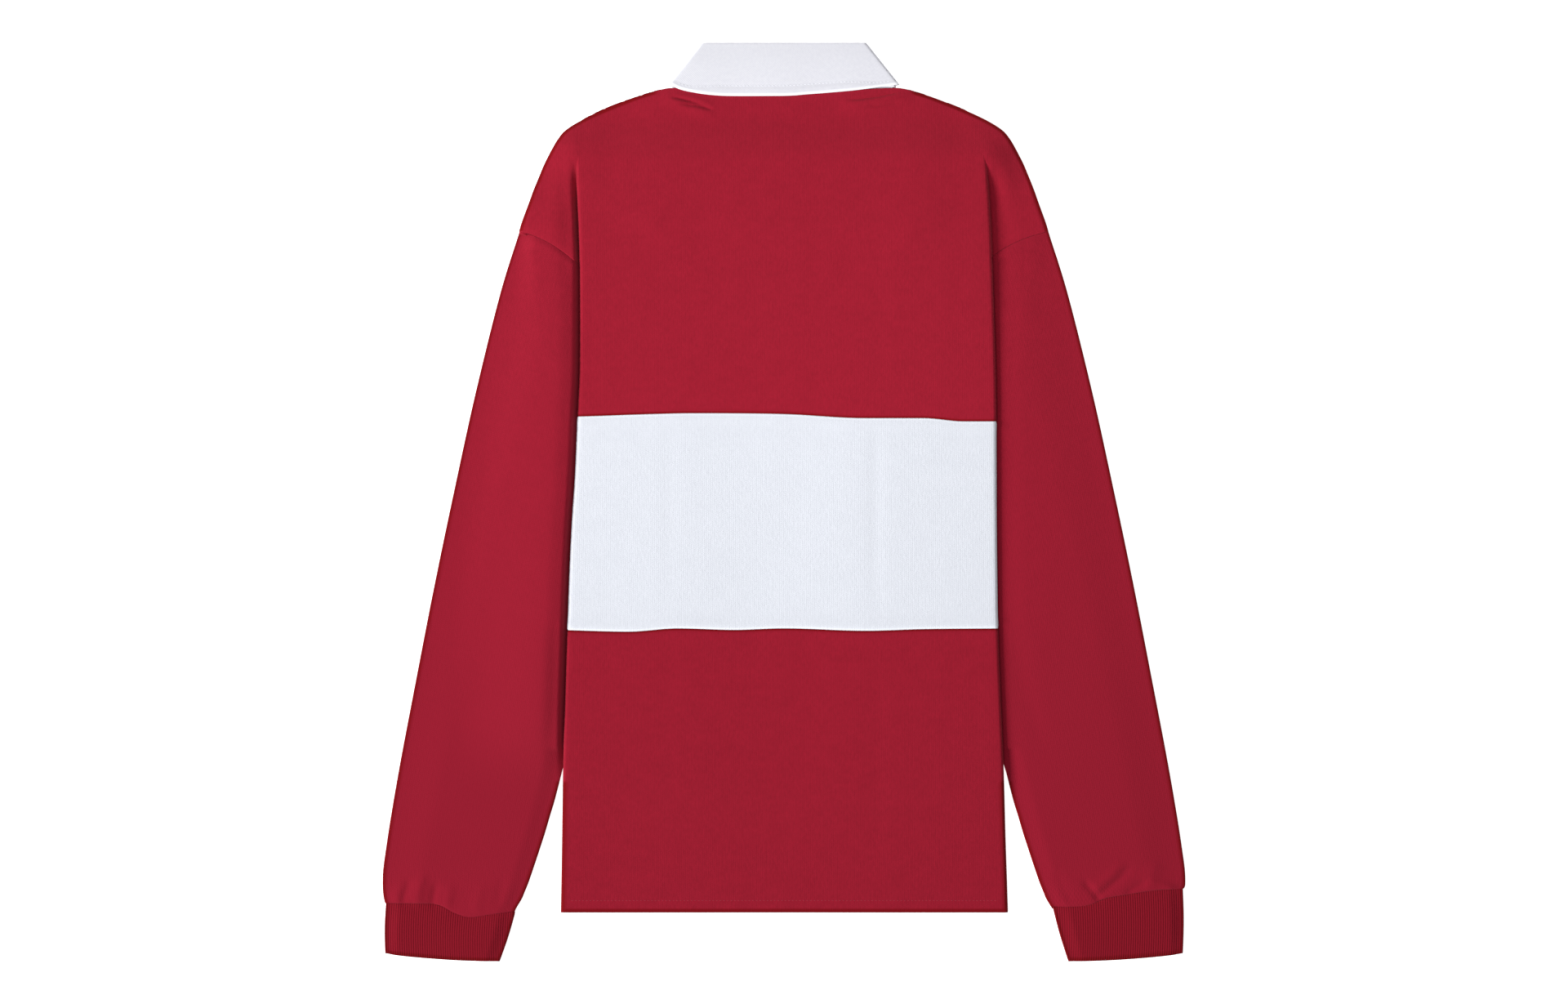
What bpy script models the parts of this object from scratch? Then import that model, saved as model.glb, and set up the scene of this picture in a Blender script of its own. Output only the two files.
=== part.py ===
"""A long-sleeved polo shirt of the rugby kind, laid flat on a table with its back upwards.

The body is a flat tube of a back and a front. Both sides of it are folded under, and the sleeves
are turned down and lie beneath the folds, straight on the table. Metres, +Z up, +Y towards the
collar, origin on the table below the middle of the whole. Left and right are as seen from above.

Cloth is counted in layers: layer 0 lies on the table, and each next layer lies PITCH higher.
"""

import math
from collections import namedtuple

import bmesh
import bpy

WALL = 0.0011
SEAM_GAP = 0.00035
PITCH = WALL + SEAM_GAP

ARC_STEPS = 4
FLAT_COLUMNS = 18
STRIP_COLUMNS = 3
DROP_COLUMNS = 9
TONGUE_COLUMNS = 4
SLEEVE_COLUMNS = 14

HEM_Y = -0.341
UNDERARM_Y = 0.112
PLEAT_Y = 0.289
NECK_Y = 0.344
NECK_HALF = 0.1110
NECK_DIP = 0.030
NECK_SIDE_Y = 0.3417
FRONT_NECK_Y = 0.272
SLEEVE_LEAVES_Y = -0.224
SLEEVE_CLEAR_Y = -0.285
PLEAT_START_WIDTH = 0.013
RAMP_WIDTH = 0.055
RAMP_CLEAR = 0.003
SIDE_GUIDE_X = 0.172
DROP_CORNER_HALF = 0.2078
DROP_CORNER_Y = 0.262
TONGUE_Y = 0.2882
PILE_FROM_Y = 0.285
CAP_BOW = 0.0165
PILE_FADES_Y = (0.314, 0.325)
FALL_START = 0.001
FALL_WIDTH = 0.010
DROP_GAP = 0.0045
DROP_TOP_RISE = 0.0025
DROP_CURVE = 1.2
DIP_HALF = 0.120

# Where the collar's front and the placket end below the body and stop lifting it.
COLLAR_LIFT_Y = (0.206, 0.236)
COLLAR_LIFT_HALF = (0.098, 0.150)
PLACKET_LIFT_Y = (0.084, 0.106)
PLACKET_LIFT_HALF = (0.0175, 0.036)

BodyEdge = namedtuple("BodyEdge", "y left right")
BODY_EDGES = (
    BodyEdge(-0.341, 0.1856, 0.1863),
    BodyEdge(-0.224, 0.1836, 0.1826),
    BodyEdge(-0.106, 0.1802, 0.1780),
    BodyEdge(-0.017, 0.1765, 0.1768),
    BodyEdge(0.020, 0.1740, 0.1763),
    BodyEdge(0.072, 0.1717, 0.1755),
    BodyEdge(0.113, 0.1699, 0.1744),
    BodyEdge(0.187, 0.1696, 0.1720),
    BodyEdge(0.230, 0.1708, 0.1704),
    BodyEdge(0.289, 0.1732, 0.1682),
)

Outline = namedtuple("Outline", "y half")
SHOULDER = (
    Outline(0.2260, 0.2203),
    Outline(0.2315, 0.2187),
    Outline(0.2485, 0.2126),
    Outline(0.2620, 0.2078),
    Outline(0.2723, 0.2037),
    Outline(0.2825, 0.1994),
    Outline(0.2893, 0.1959),
    Outline(0.2961, 0.1922),
    Outline(0.3029, 0.1881),
    Outline(0.3097, 0.1824),
    Outline(0.3165, 0.1724),
    Outline(0.3233, 0.1592),
    Outline(0.3301, 0.1435),
    Outline(0.3356, 0.1296),
    Outline(0.3383, 0.1221),
    Outline(0.3417, 0.1110),
)

SeamPoint = namedtuple("SeamPoint", "x y")
BACK_NECK = (
    SeamPoint(0.0000, 0.3440),
    SeamPoint(0.0600, 0.3442),
    SeamPoint(0.0840, 0.3452),
    SeamPoint(0.0940, 0.3453),
    SeamPoint(0.1110, 0.3417),
)
BAND_TOP = (
    SeamPoint(-0.172, 0.0717),
    SeamPoint(-0.109, 0.0738),
    SeamPoint(-0.075, 0.0745),
    SeamPoint(0.000, 0.0738),
    SeamPoint(0.068, 0.0704),
    SeamPoint(0.116, 0.0704),
    SeamPoint(0.150, 0.0677),
    SeamPoint(0.176, 0.0677),
)
BAND_BOTTOM = (
    SeamPoint(-0.179, -0.1057),
    SeamPoint(-0.129, -0.1071),
    SeamPoint(-0.088, -0.1044),
    SeamPoint(-0.041, -0.1057),
    SeamPoint(0.000, -0.1044),
    SeamPoint(0.068, -0.1064),
    SeamPoint(0.116, -0.1050),
    SeamPoint(0.178, -0.1044),
)

SleeveRow = namedtuple("SleeveRow", "outer_x outer_y inner_y")
SLEEVE_ROWS = (
    SleeveRow(0.2203, 0.2260, 0.112),
    SleeveRow(0.2366, 0.1737, 0.060),
    SleeveRow(0.2570, 0.0920, -0.002),
    SleeveRow(0.2750, 0.0100, -0.068),
    SleeveRow(0.2919, -0.0710, -0.132),
    SleeveRow(0.3078, -0.1527, -0.184),
    SleeveRow(0.3195, -0.2140, -0.226),
    SleeveRow(0.3275, -0.2600, -0.262),
    SleeveRow(0.3318, -0.2880, -0.289),
    SleeveRow(0.3342, -0.3060, -0.306),
    SleeveRow(0.3346, -0.3165, -0.319),
)
InnerPoint = namedtuple("InnerPoint", "y x")
SLEEVE_INNER = (
    InnerPoint(-0.3403, 0.2244),
    InnerPoint(-0.3295, 0.2183),
    InnerPoint(-0.3159, 0.2128),
    InnerPoint(-0.2887, 0.2036),
    InnerPoint(-0.2615, 0.1952),
    InnerPoint(-0.2240, 0.1850),
)

# The two cuff seams aren't alike: the left one dips in the middle, and the right one slants.
CUFF_SEAMS = {
    "left": (
        SeamPoint(0.2240, -0.3403),
        SeamPoint(0.2420, -0.3424),
        SeamPoint(0.2610, -0.3451),
        SeamPoint(0.2720, -0.3424),
        SeamPoint(0.2856, -0.3356),
        SeamPoint(0.2970, -0.3335),
        SeamPoint(0.3318, -0.3335),
    ),
    "right": (
        SeamPoint(0.2240, -0.3363),
        SeamPoint(0.2353, -0.3363),
        SeamPoint(0.2536, -0.3349),
        SeamPoint(0.2700, -0.3290),
        SeamPoint(0.2870, -0.3260),
        SeamPoint(0.3100, -0.3223),
        SeamPoint(0.3325, -0.3213),
    ),
}
CUFF_END = (
    SeamPoint(0.2370, -0.3820),
    SeamPoint(0.2600, -0.3814),
    SeamPoint(0.2815, -0.3804),
    SeamPoint(0.3223, -0.3768),
    SeamPoint(0.3325, -0.3752),
)
CUFF_ROWS = 3
SLEEVE_END_WIDTH = 0.110

# A soft ridge of the sleeve's upper layer: across is 0 at the outer edge and 1 at the inner one.
Gather = namedtuple("Gather", "across width start_y end_y height")
GATHERS = {
    "left": (
        Gather(0.22, 0.013, -0.345, -0.300, 0.0012),
        Gather(0.38, 0.011, -0.345, -0.312, 0.0009),
        Gather(0.55, 0.014, -0.350, -0.306, 0.0010),
    ),
    "right": (
        Gather(0.15, 0.012, -0.335, -0.300, 0.0009),
        Gather(0.33, 0.013, -0.338, -0.290, 0.0013),
        Gather(0.52, 0.012, -0.340, -0.300, 0.0010),
        Gather(0.74, 0.014, -0.345, -0.308, 0.0012),
    ),
}

STRIP_END = {"left": 0.0945, "right": 0.0755}

COLLAR_FOLD_Y = 0.3825
COLLAR_FOLD_HALF = 0.069
COLLAR_CORNER = (0.0965, 0.348)
COLLAR_FRONT_TOP = (0.008, 0.290)
COLLAR_POINT = (0.058, 0.238)
STAND_INSET = 0.0018
STAND_FRONT_END = (0.014, 0.2745)
STAND_CORNER = (0.093, 0.3465)
FRONT_NECK_GAP = 0.002
COLLAR_BACK_COLUMNS = 8
COLLAR_FRONT_COLUMNS = 5
COLLAR_ROWS = 4
LEAF_BACK_LAYER = 3
STAND_BACK_LAYER = 2

# The leaf's free edge on the back: out is 0 in the middle and 1 at the corner.
EdgePoint = namedtuple("EdgePoint", "out y")
LEAF_EDGES = {
    "left": (
        EdgePoint(0.00, 0.3387),
        EdgePoint(0.50, 0.3387),
        EdgePoint(0.67, 0.3397),
        EdgePoint(0.78, 0.3411),
        EdgePoint(0.88, 0.3431),
        EdgePoint(1.00, 0.3476),
    ),
    "right": (
        EdgePoint(0.00, 0.3387),
        EdgePoint(0.19, 0.3399),
        EdgePoint(0.40, 0.3414),
        EdgePoint(0.62, 0.3433),
        EdgePoint(0.83, 0.3458),
        EdgePoint(1.00, 0.3480),
    ),
}
STAND_EDGE = (EdgePoint(0.0, 0.34545), EdgePoint(1.0, 0.34645))
STAND_EDGES = {"left": STAND_EDGE, "right": STAND_EDGE}

PLACKET_WIDTH = 0.034
PLACKET_TOP_Y = 0.268
PLACKET_END_Y = 0.108
BUTTON_YS = (0.250, 0.198, 0.146)
BUTTON_RADIUS = 0.0055
BUTTON_HOLE_RADIUS = 0.0007
BUTTON_HOLE_OFFSET = 0.0013
BUTTON_EDGE = 0.0003
BUTTON_SIDES = 32

RED = (0.3495, 0.0131, 0.0319)
CUFF_RED = (0.2307, 0.0075, 0.0185)
WHITE = (0.8148, 0.8388, 0.9131)
COLLAR_WHITE = (0.8388, 0.8388, 0.9047)
BUTTON_WHITE = (0.7913, 0.7682, 0.7011)


def between(start, end, share):
    """The value that lies this share of the way from start to end."""
    return start + (end - start) * share


def smooth(low, high, value):
    """0 up to low and 1 from high on, with a soft turn between."""
    share = min(max((value - low) / (high - low), 0.0), 1.0)
    return share * share * (3 - 2 * share)


def read(table, at, key, wanted):
    """The wanted column of a table, read where its key column holds this value."""
    rows = sorted(table, key=lambda row: getattr(row, key))
    below = rows[0]
    for row in rows:
        if getattr(row, key) > at:
            span = getattr(row, key) - getattr(below, key)
            share = (at - getattr(below, key)) / span if span else 0.0
            return between(getattr(below, wanted), getattr(row, wanted), max(share, 0.0))
        below = row
    return getattr(below, wanted)


def side_of(x):
    """The side that a point lies on, as seen from above."""
    return "left" if x < 0 else "right"


def sign_of(side):
    return -1 if side == "left" else 1


def body_edge(side, y):
    """How far out the folded side of the body reaches."""
    return read(BODY_EDGES, y, "y", side)


def fold_centre(side, y):
    """How far out the flat part of the body ends and its side fold begins."""
    return body_edge(side, y) - WALL / 2 - 1.5 * PITCH


def strip_end(side, y):
    """How far in the strip that is folded under reaches: to the side seam, or to the pleat's inner edge."""
    top = body_edge(side, PLEAT_Y) - PLEAT_START_WIDTH
    share = max((y - UNDERARM_Y) / (PLEAT_Y - UNDERARM_Y), 0.0)
    return between(STRIP_END[side], top, min(share, 1.0))


def under_layers(y):
    """The sleeve's two layers, which lift the body's sides until the sleeve has left them."""
    return 2 * smooth(SLEEVE_CLEAR_Y, SLEEVE_LEAVES_Y - 0.004, y)


def pile(x, y, above_front):
    """How many layers lie under a panel's side: the folded strips and the sleeve below them."""
    side = side_of(x)
    end = strip_end(side, y)
    across = smooth(end - RAMP_CLEAR - RAMP_WIDTH, end - RAMP_CLEAR, abs(x))
    fading = 1 - smooth(PILE_FROM_Y, PILE_FADES_Y[above_front], y)
    edge = body_edge(side, y) - 2 * PITCH * (1 - above_front)
    beyond = smooth(edge - FALL_START, edge + FALL_WIDTH, abs(x))
    return (2 + under_layers(y)) * across * fading * (1 - beyond)


def lift(x, y):
    """The collar's front and the placket lie under the front panel and lift it by a layer."""
    collar = smooth(*COLLAR_LIFT_Y, y) * (1 - smooth(*COLLAR_LIFT_HALF, abs(x)))
    placket = smooth(*PLACKET_LIFT_Y, y) * (1 - smooth(*PLACKET_LIFT_HALF, abs(x)))
    return max(collar, placket)


def panel_layer(x, y, above_front):
    """The layer of the back (1) or the front (0) at a point seen from above."""
    return pile(x, y, above_front) + lift(x, y) + above_front


def height(layer):
    """The middle of the wall of this layer."""
    return WALL / 2 + layer * PITCH


def flat_shares():
    """Where the body's columns stand: 0 at the left side fold and 1 at the right one."""
    return [index / FLAT_COLUMNS for index in range(FLAT_COLUMNS + 1)]


def body_row(line, above_front):
    """One row of a body panel, from its left strip over the top to its right strip.

    line gives y for an x, and above_front is 1 for the back and 0 for the front.
    """
    hooks = {}
    for side in ("left", "right"):
        sign = sign_of(side)
        y = line(sign * SIDE_GUIDE_X)
        centre_x = fold_centre(side, y)
        top = 2 + above_front + under_layers(y)
        bottom = 1 - above_front + under_layers(y)
        radius = (top - bottom) * PITCH / 2
        middle = height((top + bottom) / 2)
        hook = []
        for step in range(1, ARC_STEPS + 1):
            turn = math.pi * step / ARC_STEPS
            reach = centre_x + radius * math.sin(turn)
            hook.append((sign * reach, y, middle + radius * math.cos(turn)))
        end = strip_end(side, y)
        for step in range(1, STRIP_COLUMNS + 1):
            reach = between(centre_x, end, step / STRIP_COLUMNS)
            hook.append((sign * reach, y, height(bottom)))
        hooks[side] = hook
    return hooks["left"][::-1] + flat_row(line, above_front) + hooks["right"]


def flat_row(line, above_front):
    """The flat part of one row of a body panel."""
    left = -fold_centre("left", line(-SIDE_GUIDE_X))
    right = fold_centre("right", line(SIDE_GUIDE_X))
    row = []
    for share in flat_shares():
        x = between(left, right, share)
        y = line(x)
        row.append((x, y, height(panel_layer(x, y, above_front))))
    return row


def seam_line(table, offset):
    return lambda x: read(table, x, "x", "y") + offset


def level_line(y):
    return lambda x: y


def pleat_line(x):
    """The line at which the side folds begin, drawn down in the middle below the neck opening."""
    return PLEAT_Y - NECK_DIP * (1 - smooth(0.0, DIP_HALF, abs(x)))


def mixed_line(lower, upper, share):
    return lambda x: between(lower(x), upper(x), share)


def body_rows(lower, upper, count, above_front):
    """The rows of a body panel between two lines."""
    return [
        body_row(mixed_line(lower, upper, step / count), above_front)
        for step in range(count + 1)
    ]


def drop_edge(side):
    """The pleat line's outer stretch, from just outside the side fold to the shoulder's outline."""
    start = body_edge(side, PLEAT_Y) + DROP_GAP
    points = []
    for step in range(DROP_COLUMNS + 1):
        share = step / DROP_COLUMNS
        x = between(start, DROP_CORNER_HALF, share)
        y = between(PLEAT_Y + DROP_TOP_RISE, DROP_CORNER_Y, share ** DROP_CURVE)
        points.append((sign_of(side) * x, y))
    return points


def yoke_rows(neck_line, above_front, count=8):
    """The shoulders, from the pleat line up to the neck and the shoulder outlines."""
    first = [
        (x, y, height(above_front)) for x, y in drop_edge("left")[::-1]
    ]
    first += flat_row(pleat_line, above_front)
    first += [(x, y, height(above_front)) for x, y in drop_edge("right")]
    rows = [first]
    for step in range(1, count + 1):
        share = step / count
        outline_y = between(DROP_CORNER_Y, NECK_SIDE_Y, share)
        outline_half = read(SHOULDER, outline_y, "y", "half")
        row = []
        for start_x, start_y, _ in first:
            out = start_x / DROP_CORNER_HALF
            x = out * outline_half
            y = between(start_y, neck_line(out * NECK_HALF), share)
            row.append((x, y, height(panel_layer(x, y, above_front))))
        rows.append(row)
    return rows


def back_neck_line(x):
    return read(BACK_NECK, abs(x), "x", "y")


def front_neck_line(x):
    """The front's neck seam runs just outside the stand's lower edge."""
    share = (abs(x) - STAND_FRONT_END[0]) / (STAND_CORNER[0] - STAND_FRONT_END[0])
    seam = between(STAND_FRONT_END[1], STAND_CORNER[1], share) - FRONT_NECK_GAP
    return min(max(seam, FRONT_NECK_Y), NECK_SIDE_Y)


def armhole(side, share, offset):
    """A point of the armhole seam, from the shoulder (0) to the underarm (1)."""
    start = SLEEVE_ROWS[0]
    x = between(start.outer_x, STRIP_END[side], share)
    y = between(start.outer_y, UNDERARM_Y, share) + CAP_BOW * math.sin(math.pi * share)
    return sign_of(side) * x, y + offset


def drop_rows(side, layer, count=5):
    """The dropped shoulder outside the side fold, with the hidden tongue that runs in under it."""
    top = []
    tongue_start = strip_end(side, TONGUE_Y)
    edge = body_edge(side, PLEAT_Y) + FALL_START
    for step in range(TONGUE_COLUMNS):
        x = between(tongue_start, edge, step / (TONGUE_COLUMNS - 1))
        top.append((sign_of(side) * x, TONGUE_Y))
    top += drop_edge(side)
    columns = len(top) - 1
    rows = []
    for step in range(count + 1):
        share = step / count
        row = []
        for index, (top_x, top_y) in enumerate(top):
            seam_x, seam_y = armhole(side, 1 - index / columns, SEAM_GAP / 2)
            x = between(top_x, seam_x, share)
            y = between(top_y, seam_y, share)
            if index == columns:
                y = between(DROP_CORNER_Y, SLEEVE_ROWS[0].outer_y + SEAM_GAP / 2, share)
                x = sign_of(side) * read(SHOULDER, y, "y", "half")
            row.append((x, y, height(layer)))
        rows.append(row)
    return rows


def sleeve_inner_x(side, y):
    """The sleeve's inner edge: hidden and straight from the underarm, then free and curved."""
    if y <= SLEEVE_LEAVES_Y:
        return read(SLEEVE_INNER, y, "y", "x")
    share = (UNDERARM_Y - y) / (UNDERARM_Y - SLEEVE_LEAVES_Y)
    return between(STRIP_END[side], SLEEVE_INNER[-1].x, share)


def ring(outer, inner, y_at=None, rise=None):
    """A flat tube's section between two points: its upper layer, its inner fold, its lower layer.

    y_at bends the section in plan, and rise gives the height of a soft ridge in the upper layer.
    """
    columns = SLEEVE_COLUMNS
    length = math.dist(outer, inner)
    margin = (WALL + PITCH) / 2 / length
    radius = PITCH / 2
    middle = height(0.5)
    points = []
    for step in range(columns + 1):
        share = between(margin, 1 - margin, step / columns)
        points.append((share, middle + radius, True))
    for step in range(1, ARC_STEPS):
        turn = math.pi * step / ARC_STEPS
        reach = 1 - margin + radius * math.sin(turn) / length
        points.append((reach, middle + radius * math.cos(turn), False))
    for step in range(columns + 1):
        share = between(1 - margin, margin, step / columns)
        points.append((share, middle - radius, False))
    for step in range(1, ARC_STEPS):
        turn = math.pi * step / ARC_STEPS
        reach = margin - radius * math.sin(turn) / length
        points.append((reach, middle - radius * math.cos(turn), False))
    placed = []
    for share, z, upper in points:
        x = between(outer[0], inner[0], share)
        y = between(outer[1], inner[1], share)
        if y_at:
            y = y_at(share, x, y)
        if upper and rise:
            z += rise(share, y)
        placed.append((x, y, z))
    return placed + placed[:1]


def gather_rise(side):
    """The ridges that a cuff draws in the end of its sleeve."""

    def rise(share, y):
        total = 0.0
        for gather in GATHERS[side]:
            off = abs(share - gather.across) * SLEEVE_END_WIDTH / gather.width
            along = 1 - smooth(gather.start_y, gather.end_y, y)
            total += gather.height * max(1 - off, 0.0) * along
        return total

    return rise


def cap_bend(share, x, y):
    """The bow of the sleeve's cap, which is sewn to the armhole."""
    return y + CAP_BOW * math.sin(math.pi * min(max(share, 0.0), 1.0))


def sleeve_rows(side):
    """A sleeve's sections, from the armhole down to the cuff's seam."""
    sign = sign_of(side)
    rise = gather_rise(side)
    cap = (armhole(side, 0, -SEAM_GAP / 2), armhole(side, 1, -SEAM_GAP / 2))
    rows = [ring(*cap, cap_bend, rise)]
    for row in SLEEVE_ROWS[1:]:
        outer = (sign * row.outer_x, row.outer_y)
        inner = (sign * sleeve_inner_x(side, row.inner_y), row.inner_y)
        rows.append(ring(outer, inner, None, rise))
    seam = CUFF_SEAMS[side]

    def on_seam(share, x, y):
        return read(seam, abs(x), "x", "y") + SEAM_GAP / 2

    outer = (sign * seam[-1].x, seam[-1].y)
    inner = (sign * seam[0].x, seam[0].y)
    rows.append(ring(outer, inner, on_seam, rise))
    return rows


def cuff_rows(side):
    """A cuff's sections, from its seam to its end."""
    sign = sign_of(side)
    seam = CUFF_SEAMS[side]
    rows = []
    for step in range(CUFF_ROWS + 1):
        share = step / CUFF_ROWS
        outer_x = between(seam[-1].x, CUFF_END[-1].x, share)
        inner_x = between(seam[0].x, CUFF_END[0].x, share)

        def bend(across, x, y, share=share):
            out = min(max(across, 0.0), 1.0)
            top = read(seam, between(seam[-1].x, seam[0].x, out), "x", "y") - SEAM_GAP / 2
            end = read(CUFF_END, between(CUFF_END[-1].x, CUFF_END[0].x, out), "x", "y")
            return between(top, end, share)
        rows.append(ring((sign * outer_x, 0.0), (sign * inner_x, 0.0), bend))
    return rows


def collar_row(share, side, inset, layer, back_edges, corner, front_end):
    """One half of a collar row, from beside the middle of the back round to the front.

    layer is the back's layer; the front half lies as far below the middle of the four layers.
    """
    front_layer = LEAF_BACK_LAYER - layer
    radius = (layer - front_layer) * PITCH / 2
    middle = height((layer + front_layer) / 2)
    fold_y = COLLAR_FOLD_Y - inset
    reach = WALL / 2 + inset + radius
    side_x = between(COLLAR_FOLD_HALF, corner[0] + inset, share) - reach
    side_y = between(fold_y, corner[1], share)
    row = []
    for column in range(1, COLLAR_BACK_COLUMNS + 1):
        out = column / COLLAR_BACK_COLUMNS
        edge_y = read(back_edges[side], out, "out", "y")
        row.append((out * side_x, between(fold_y, edge_y, share), height(layer)))
    for step in range(1, ARC_STEPS + 1):
        turn = math.pi * step / ARC_STEPS
        row.append((side_x + radius * math.sin(turn), side_y, middle + radius * math.cos(turn)))
    for column in range(1, COLLAR_FRONT_COLUMNS + 1):
        out = column / COLLAR_FRONT_COLUMNS
        fold_x = between(COLLAR_FOLD_HALF - reach, COLLAR_FRONT_TOP[0], out)
        fold_to = between(fold_y, COLLAR_FRONT_TOP[1], out)
        edge_x = between(corner[0] - reach, front_end[0], out)
        edge_y = between(corner[1], front_end[1], out)
        x = between(fold_x, edge_x, share)
        y = between(fold_to, edge_y, share)
        row.append((x, y, height(front_layer)))
    return [(sign_of(side) * x, y, z) for x, y, z in row]


def collar_rows(inset, layer, back_edges, corner, front_end):
    """Rows from a collar piece's fold line to its free edge, round the back and both front halves."""
    shape = (inset, layer, back_edges, corner, front_end)
    rows = []
    for step in range(COLLAR_ROWS + 1):
        share = step / COLLAR_ROWS
        middle_y = between(COLLAR_FOLD_Y - inset, back_edges["left"][0].y, share)
        left = collar_row(share, "left", *shape)
        right = collar_row(share, "right", *shape)
        rows.append(left[::-1] + [(0.0, middle_y, height(layer))] + right)
    return rows


def cloth(name, colour, roughness):
    """Cotton cloth: matt, with no metallic share."""
    material = bpy.data.materials.new(name)
    material.use_nodes = True
    shader = material.node_tree.nodes["Principled BSDF"]
    shader.inputs["Base Color"].default_value = (*colour, 1.0)
    shader.inputs["Roughness"].default_value = roughness
    shader.inputs["Metallic"].default_value = 0.0
    return material


def wall(collection, name, blocks, material):
    """A cloth wall on blocks of rows, which share the points at which they join."""
    mesh = bmesh.new()
    seen = {}

    def vertex(point):
        key = tuple(round(value, 6) for value in point)
        if key not in seen:
            seen[key] = mesh.verts.new(point)
        return seen[key]

    for rows in blocks:
        grid = [[vertex(point) for point in row] for row in rows]
        for near, far in zip(grid, grid[1:]):
            for corners in zip(near, near[1:], far[1:], far):
                mesh.faces.new(dict.fromkeys(corners))
    bmesh.ops.recalc_face_normals(mesh, faces=mesh.faces)
    data = bpy.data.meshes.new(name)
    mesh.to_mesh(data)
    mesh.free()
    data.materials.append(material)
    data.shade_smooth()
    piece = bpy.data.objects.new(name, data)
    collection.objects.link(piece)
    solidify = piece.modifiers.new("wall", "SOLIDIFY")
    solidify.thickness = WALL
    solidify.offset = 0.0
    return piece


def disc(name, radius, low, high, sides):
    """An upright disc as a mesh object that isn't in any collection yet."""
    mesh = bmesh.new()
    bmesh.ops.create_cone(
        mesh, cap_ends=True, segments=sides, radius1=radius, radius2=radius, depth=high - low
    )
    bmesh.ops.translate(mesh, verts=mesh.verts, vec=(0, 0, (low + high) / 2))
    data = bpy.data.meshes.new(name)
    mesh.to_mesh(data)
    mesh.free()
    return bpy.data.objects.new(name, data)


def cut(piece, cutter, cutters):
    """Takes the cutter out of the piece."""
    cutters.objects.link(cutter)
    cutter.hide_render = True
    cutter.display_type = "WIRE"
    boolean = piece.modifiers.new(cutter.name, "BOOLEAN")
    boolean.operation = "DIFFERENCE"
    boolean.object = cutter


def build_placket(shirt, cutters, material):
    """The placket strip on the underside, with a round seat for each button."""
    half = PLACKET_WIDTH / 2
    rows = [
        [(x, y, height(0)) for x in (-half, half)]
        for y in (PLACKET_END_Y, PLACKET_TOP_Y)
    ]
    placket = wall(shirt, "placket", [rows], material)
    for index, y in enumerate(BUTTON_YS, start=1):
        seat = disc(f"seat_{index}", BUTTON_RADIUS + SEAM_GAP, -WALL, 2 * WALL, BUTTON_SIDES)
        seat.location = (0.0, y, 0.0)
        cut(placket, seat, cutters)


def build_buttons(shirt, cutters, material):
    """Four-hole buttons, sunk in the placket so that the underside stays flat."""
    for index, y in enumerate(BUTTON_YS, start=1):
        button = disc(f"button_{index}", BUTTON_RADIUS, 0.0, WALL, BUTTON_SIDES)
        button.location = (0.0, y, 0.0)
        button.data.materials.append(material)
        shirt.objects.link(button)
        bevel = button.modifiers.new("rounded edge", "BEVEL")
        bevel.width = BUTTON_EDGE
        bevel.segments = 2
        for hole, (across, along) in enumerate(((1, 1), (1, -1), (-1, 1), (-1, -1))):
            thread = disc(f"thread_{index}_{hole}", BUTTON_HOLE_RADIUS, -WALL, 2 * WALL, 10)
            offset_x = across * BUTTON_HOLE_OFFSET
            thread.location = (offset_x, y + along * BUTTON_HOLE_OFFSET, 0.0)
            cut(button, thread, cutters)


def build_body(shirt, red, white):
    """The back and the front, each cut in three at the band's seams."""
    half_gap = SEAM_GAP / 2
    for panel, above_front, neck in (("back", 1, back_neck_line), ("front", 0, front_neck_line)):
        upper = body_rows(seam_line(BAND_TOP, half_gap), pleat_line, 9, above_front)
        yoke = yoke_rows(neck, above_front)
        drops = [drop_rows(side, above_front) for side in ("left", "right")]
        wall(shirt, f"{panel}_upper", [upper, yoke, *drops], red)
        band = body_rows(
            seam_line(BAND_BOTTOM, half_gap), seam_line(BAND_TOP, -half_gap), 5, above_front
        )
        wall(shirt, f"{panel}_band", [band], white)
        lower = body_rows(level_line(HEM_Y), seam_line(BAND_BOTTOM, -half_gap), 9, above_front)
        wall(shirt, f"{panel}_lower", [lower], red)


def build_sleeves(shirt, red, cuff_red):
    for side in ("left", "right"):
        wall(shirt, f"sleeve_{side}", [sleeve_rows(side)], red)
        wall(shirt, f"cuff_{side}", [cuff_rows(side)], cuff_red)


def build_collar(shirt, white):
    leaf = collar_rows(0.0, LEAF_BACK_LAYER, LEAF_EDGES, COLLAR_CORNER, COLLAR_POINT)
    wall(shirt, "collar_leaf", [leaf], white)
    stand = collar_rows(
        STAND_INSET, STAND_BACK_LAYER, STAND_EDGES, STAND_CORNER, STAND_FRONT_END
    )
    wall(shirt, "collar_stand", [stand], white)


def main():
    for thing in list(bpy.data.objects):
        bpy.data.objects.remove(thing)
    shirt = bpy.data.collections.new("polo_shirt")
    cutters = bpy.data.collections.new("cutters")
    bpy.context.scene.collection.children.link(shirt)
    bpy.context.scene.collection.children.link(cutters)
    red = cloth("red jersey", RED, 0.9)
    build_body(shirt, red, cloth("white jersey", WHITE, 0.9))
    build_sleeves(shirt, red, cloth("red rib", CUFF_RED, 0.95))
    build_collar(shirt, cloth("white collar cloth", COLLAR_WHITE, 0.85))
    build_placket(shirt, cutters, cloth("white placket cloth", COLLAR_WHITE, 0.85))
    build_buttons(shirt, cutters, cloth("rubber button", BUTTON_WHITE, 0.5))


main()
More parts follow.
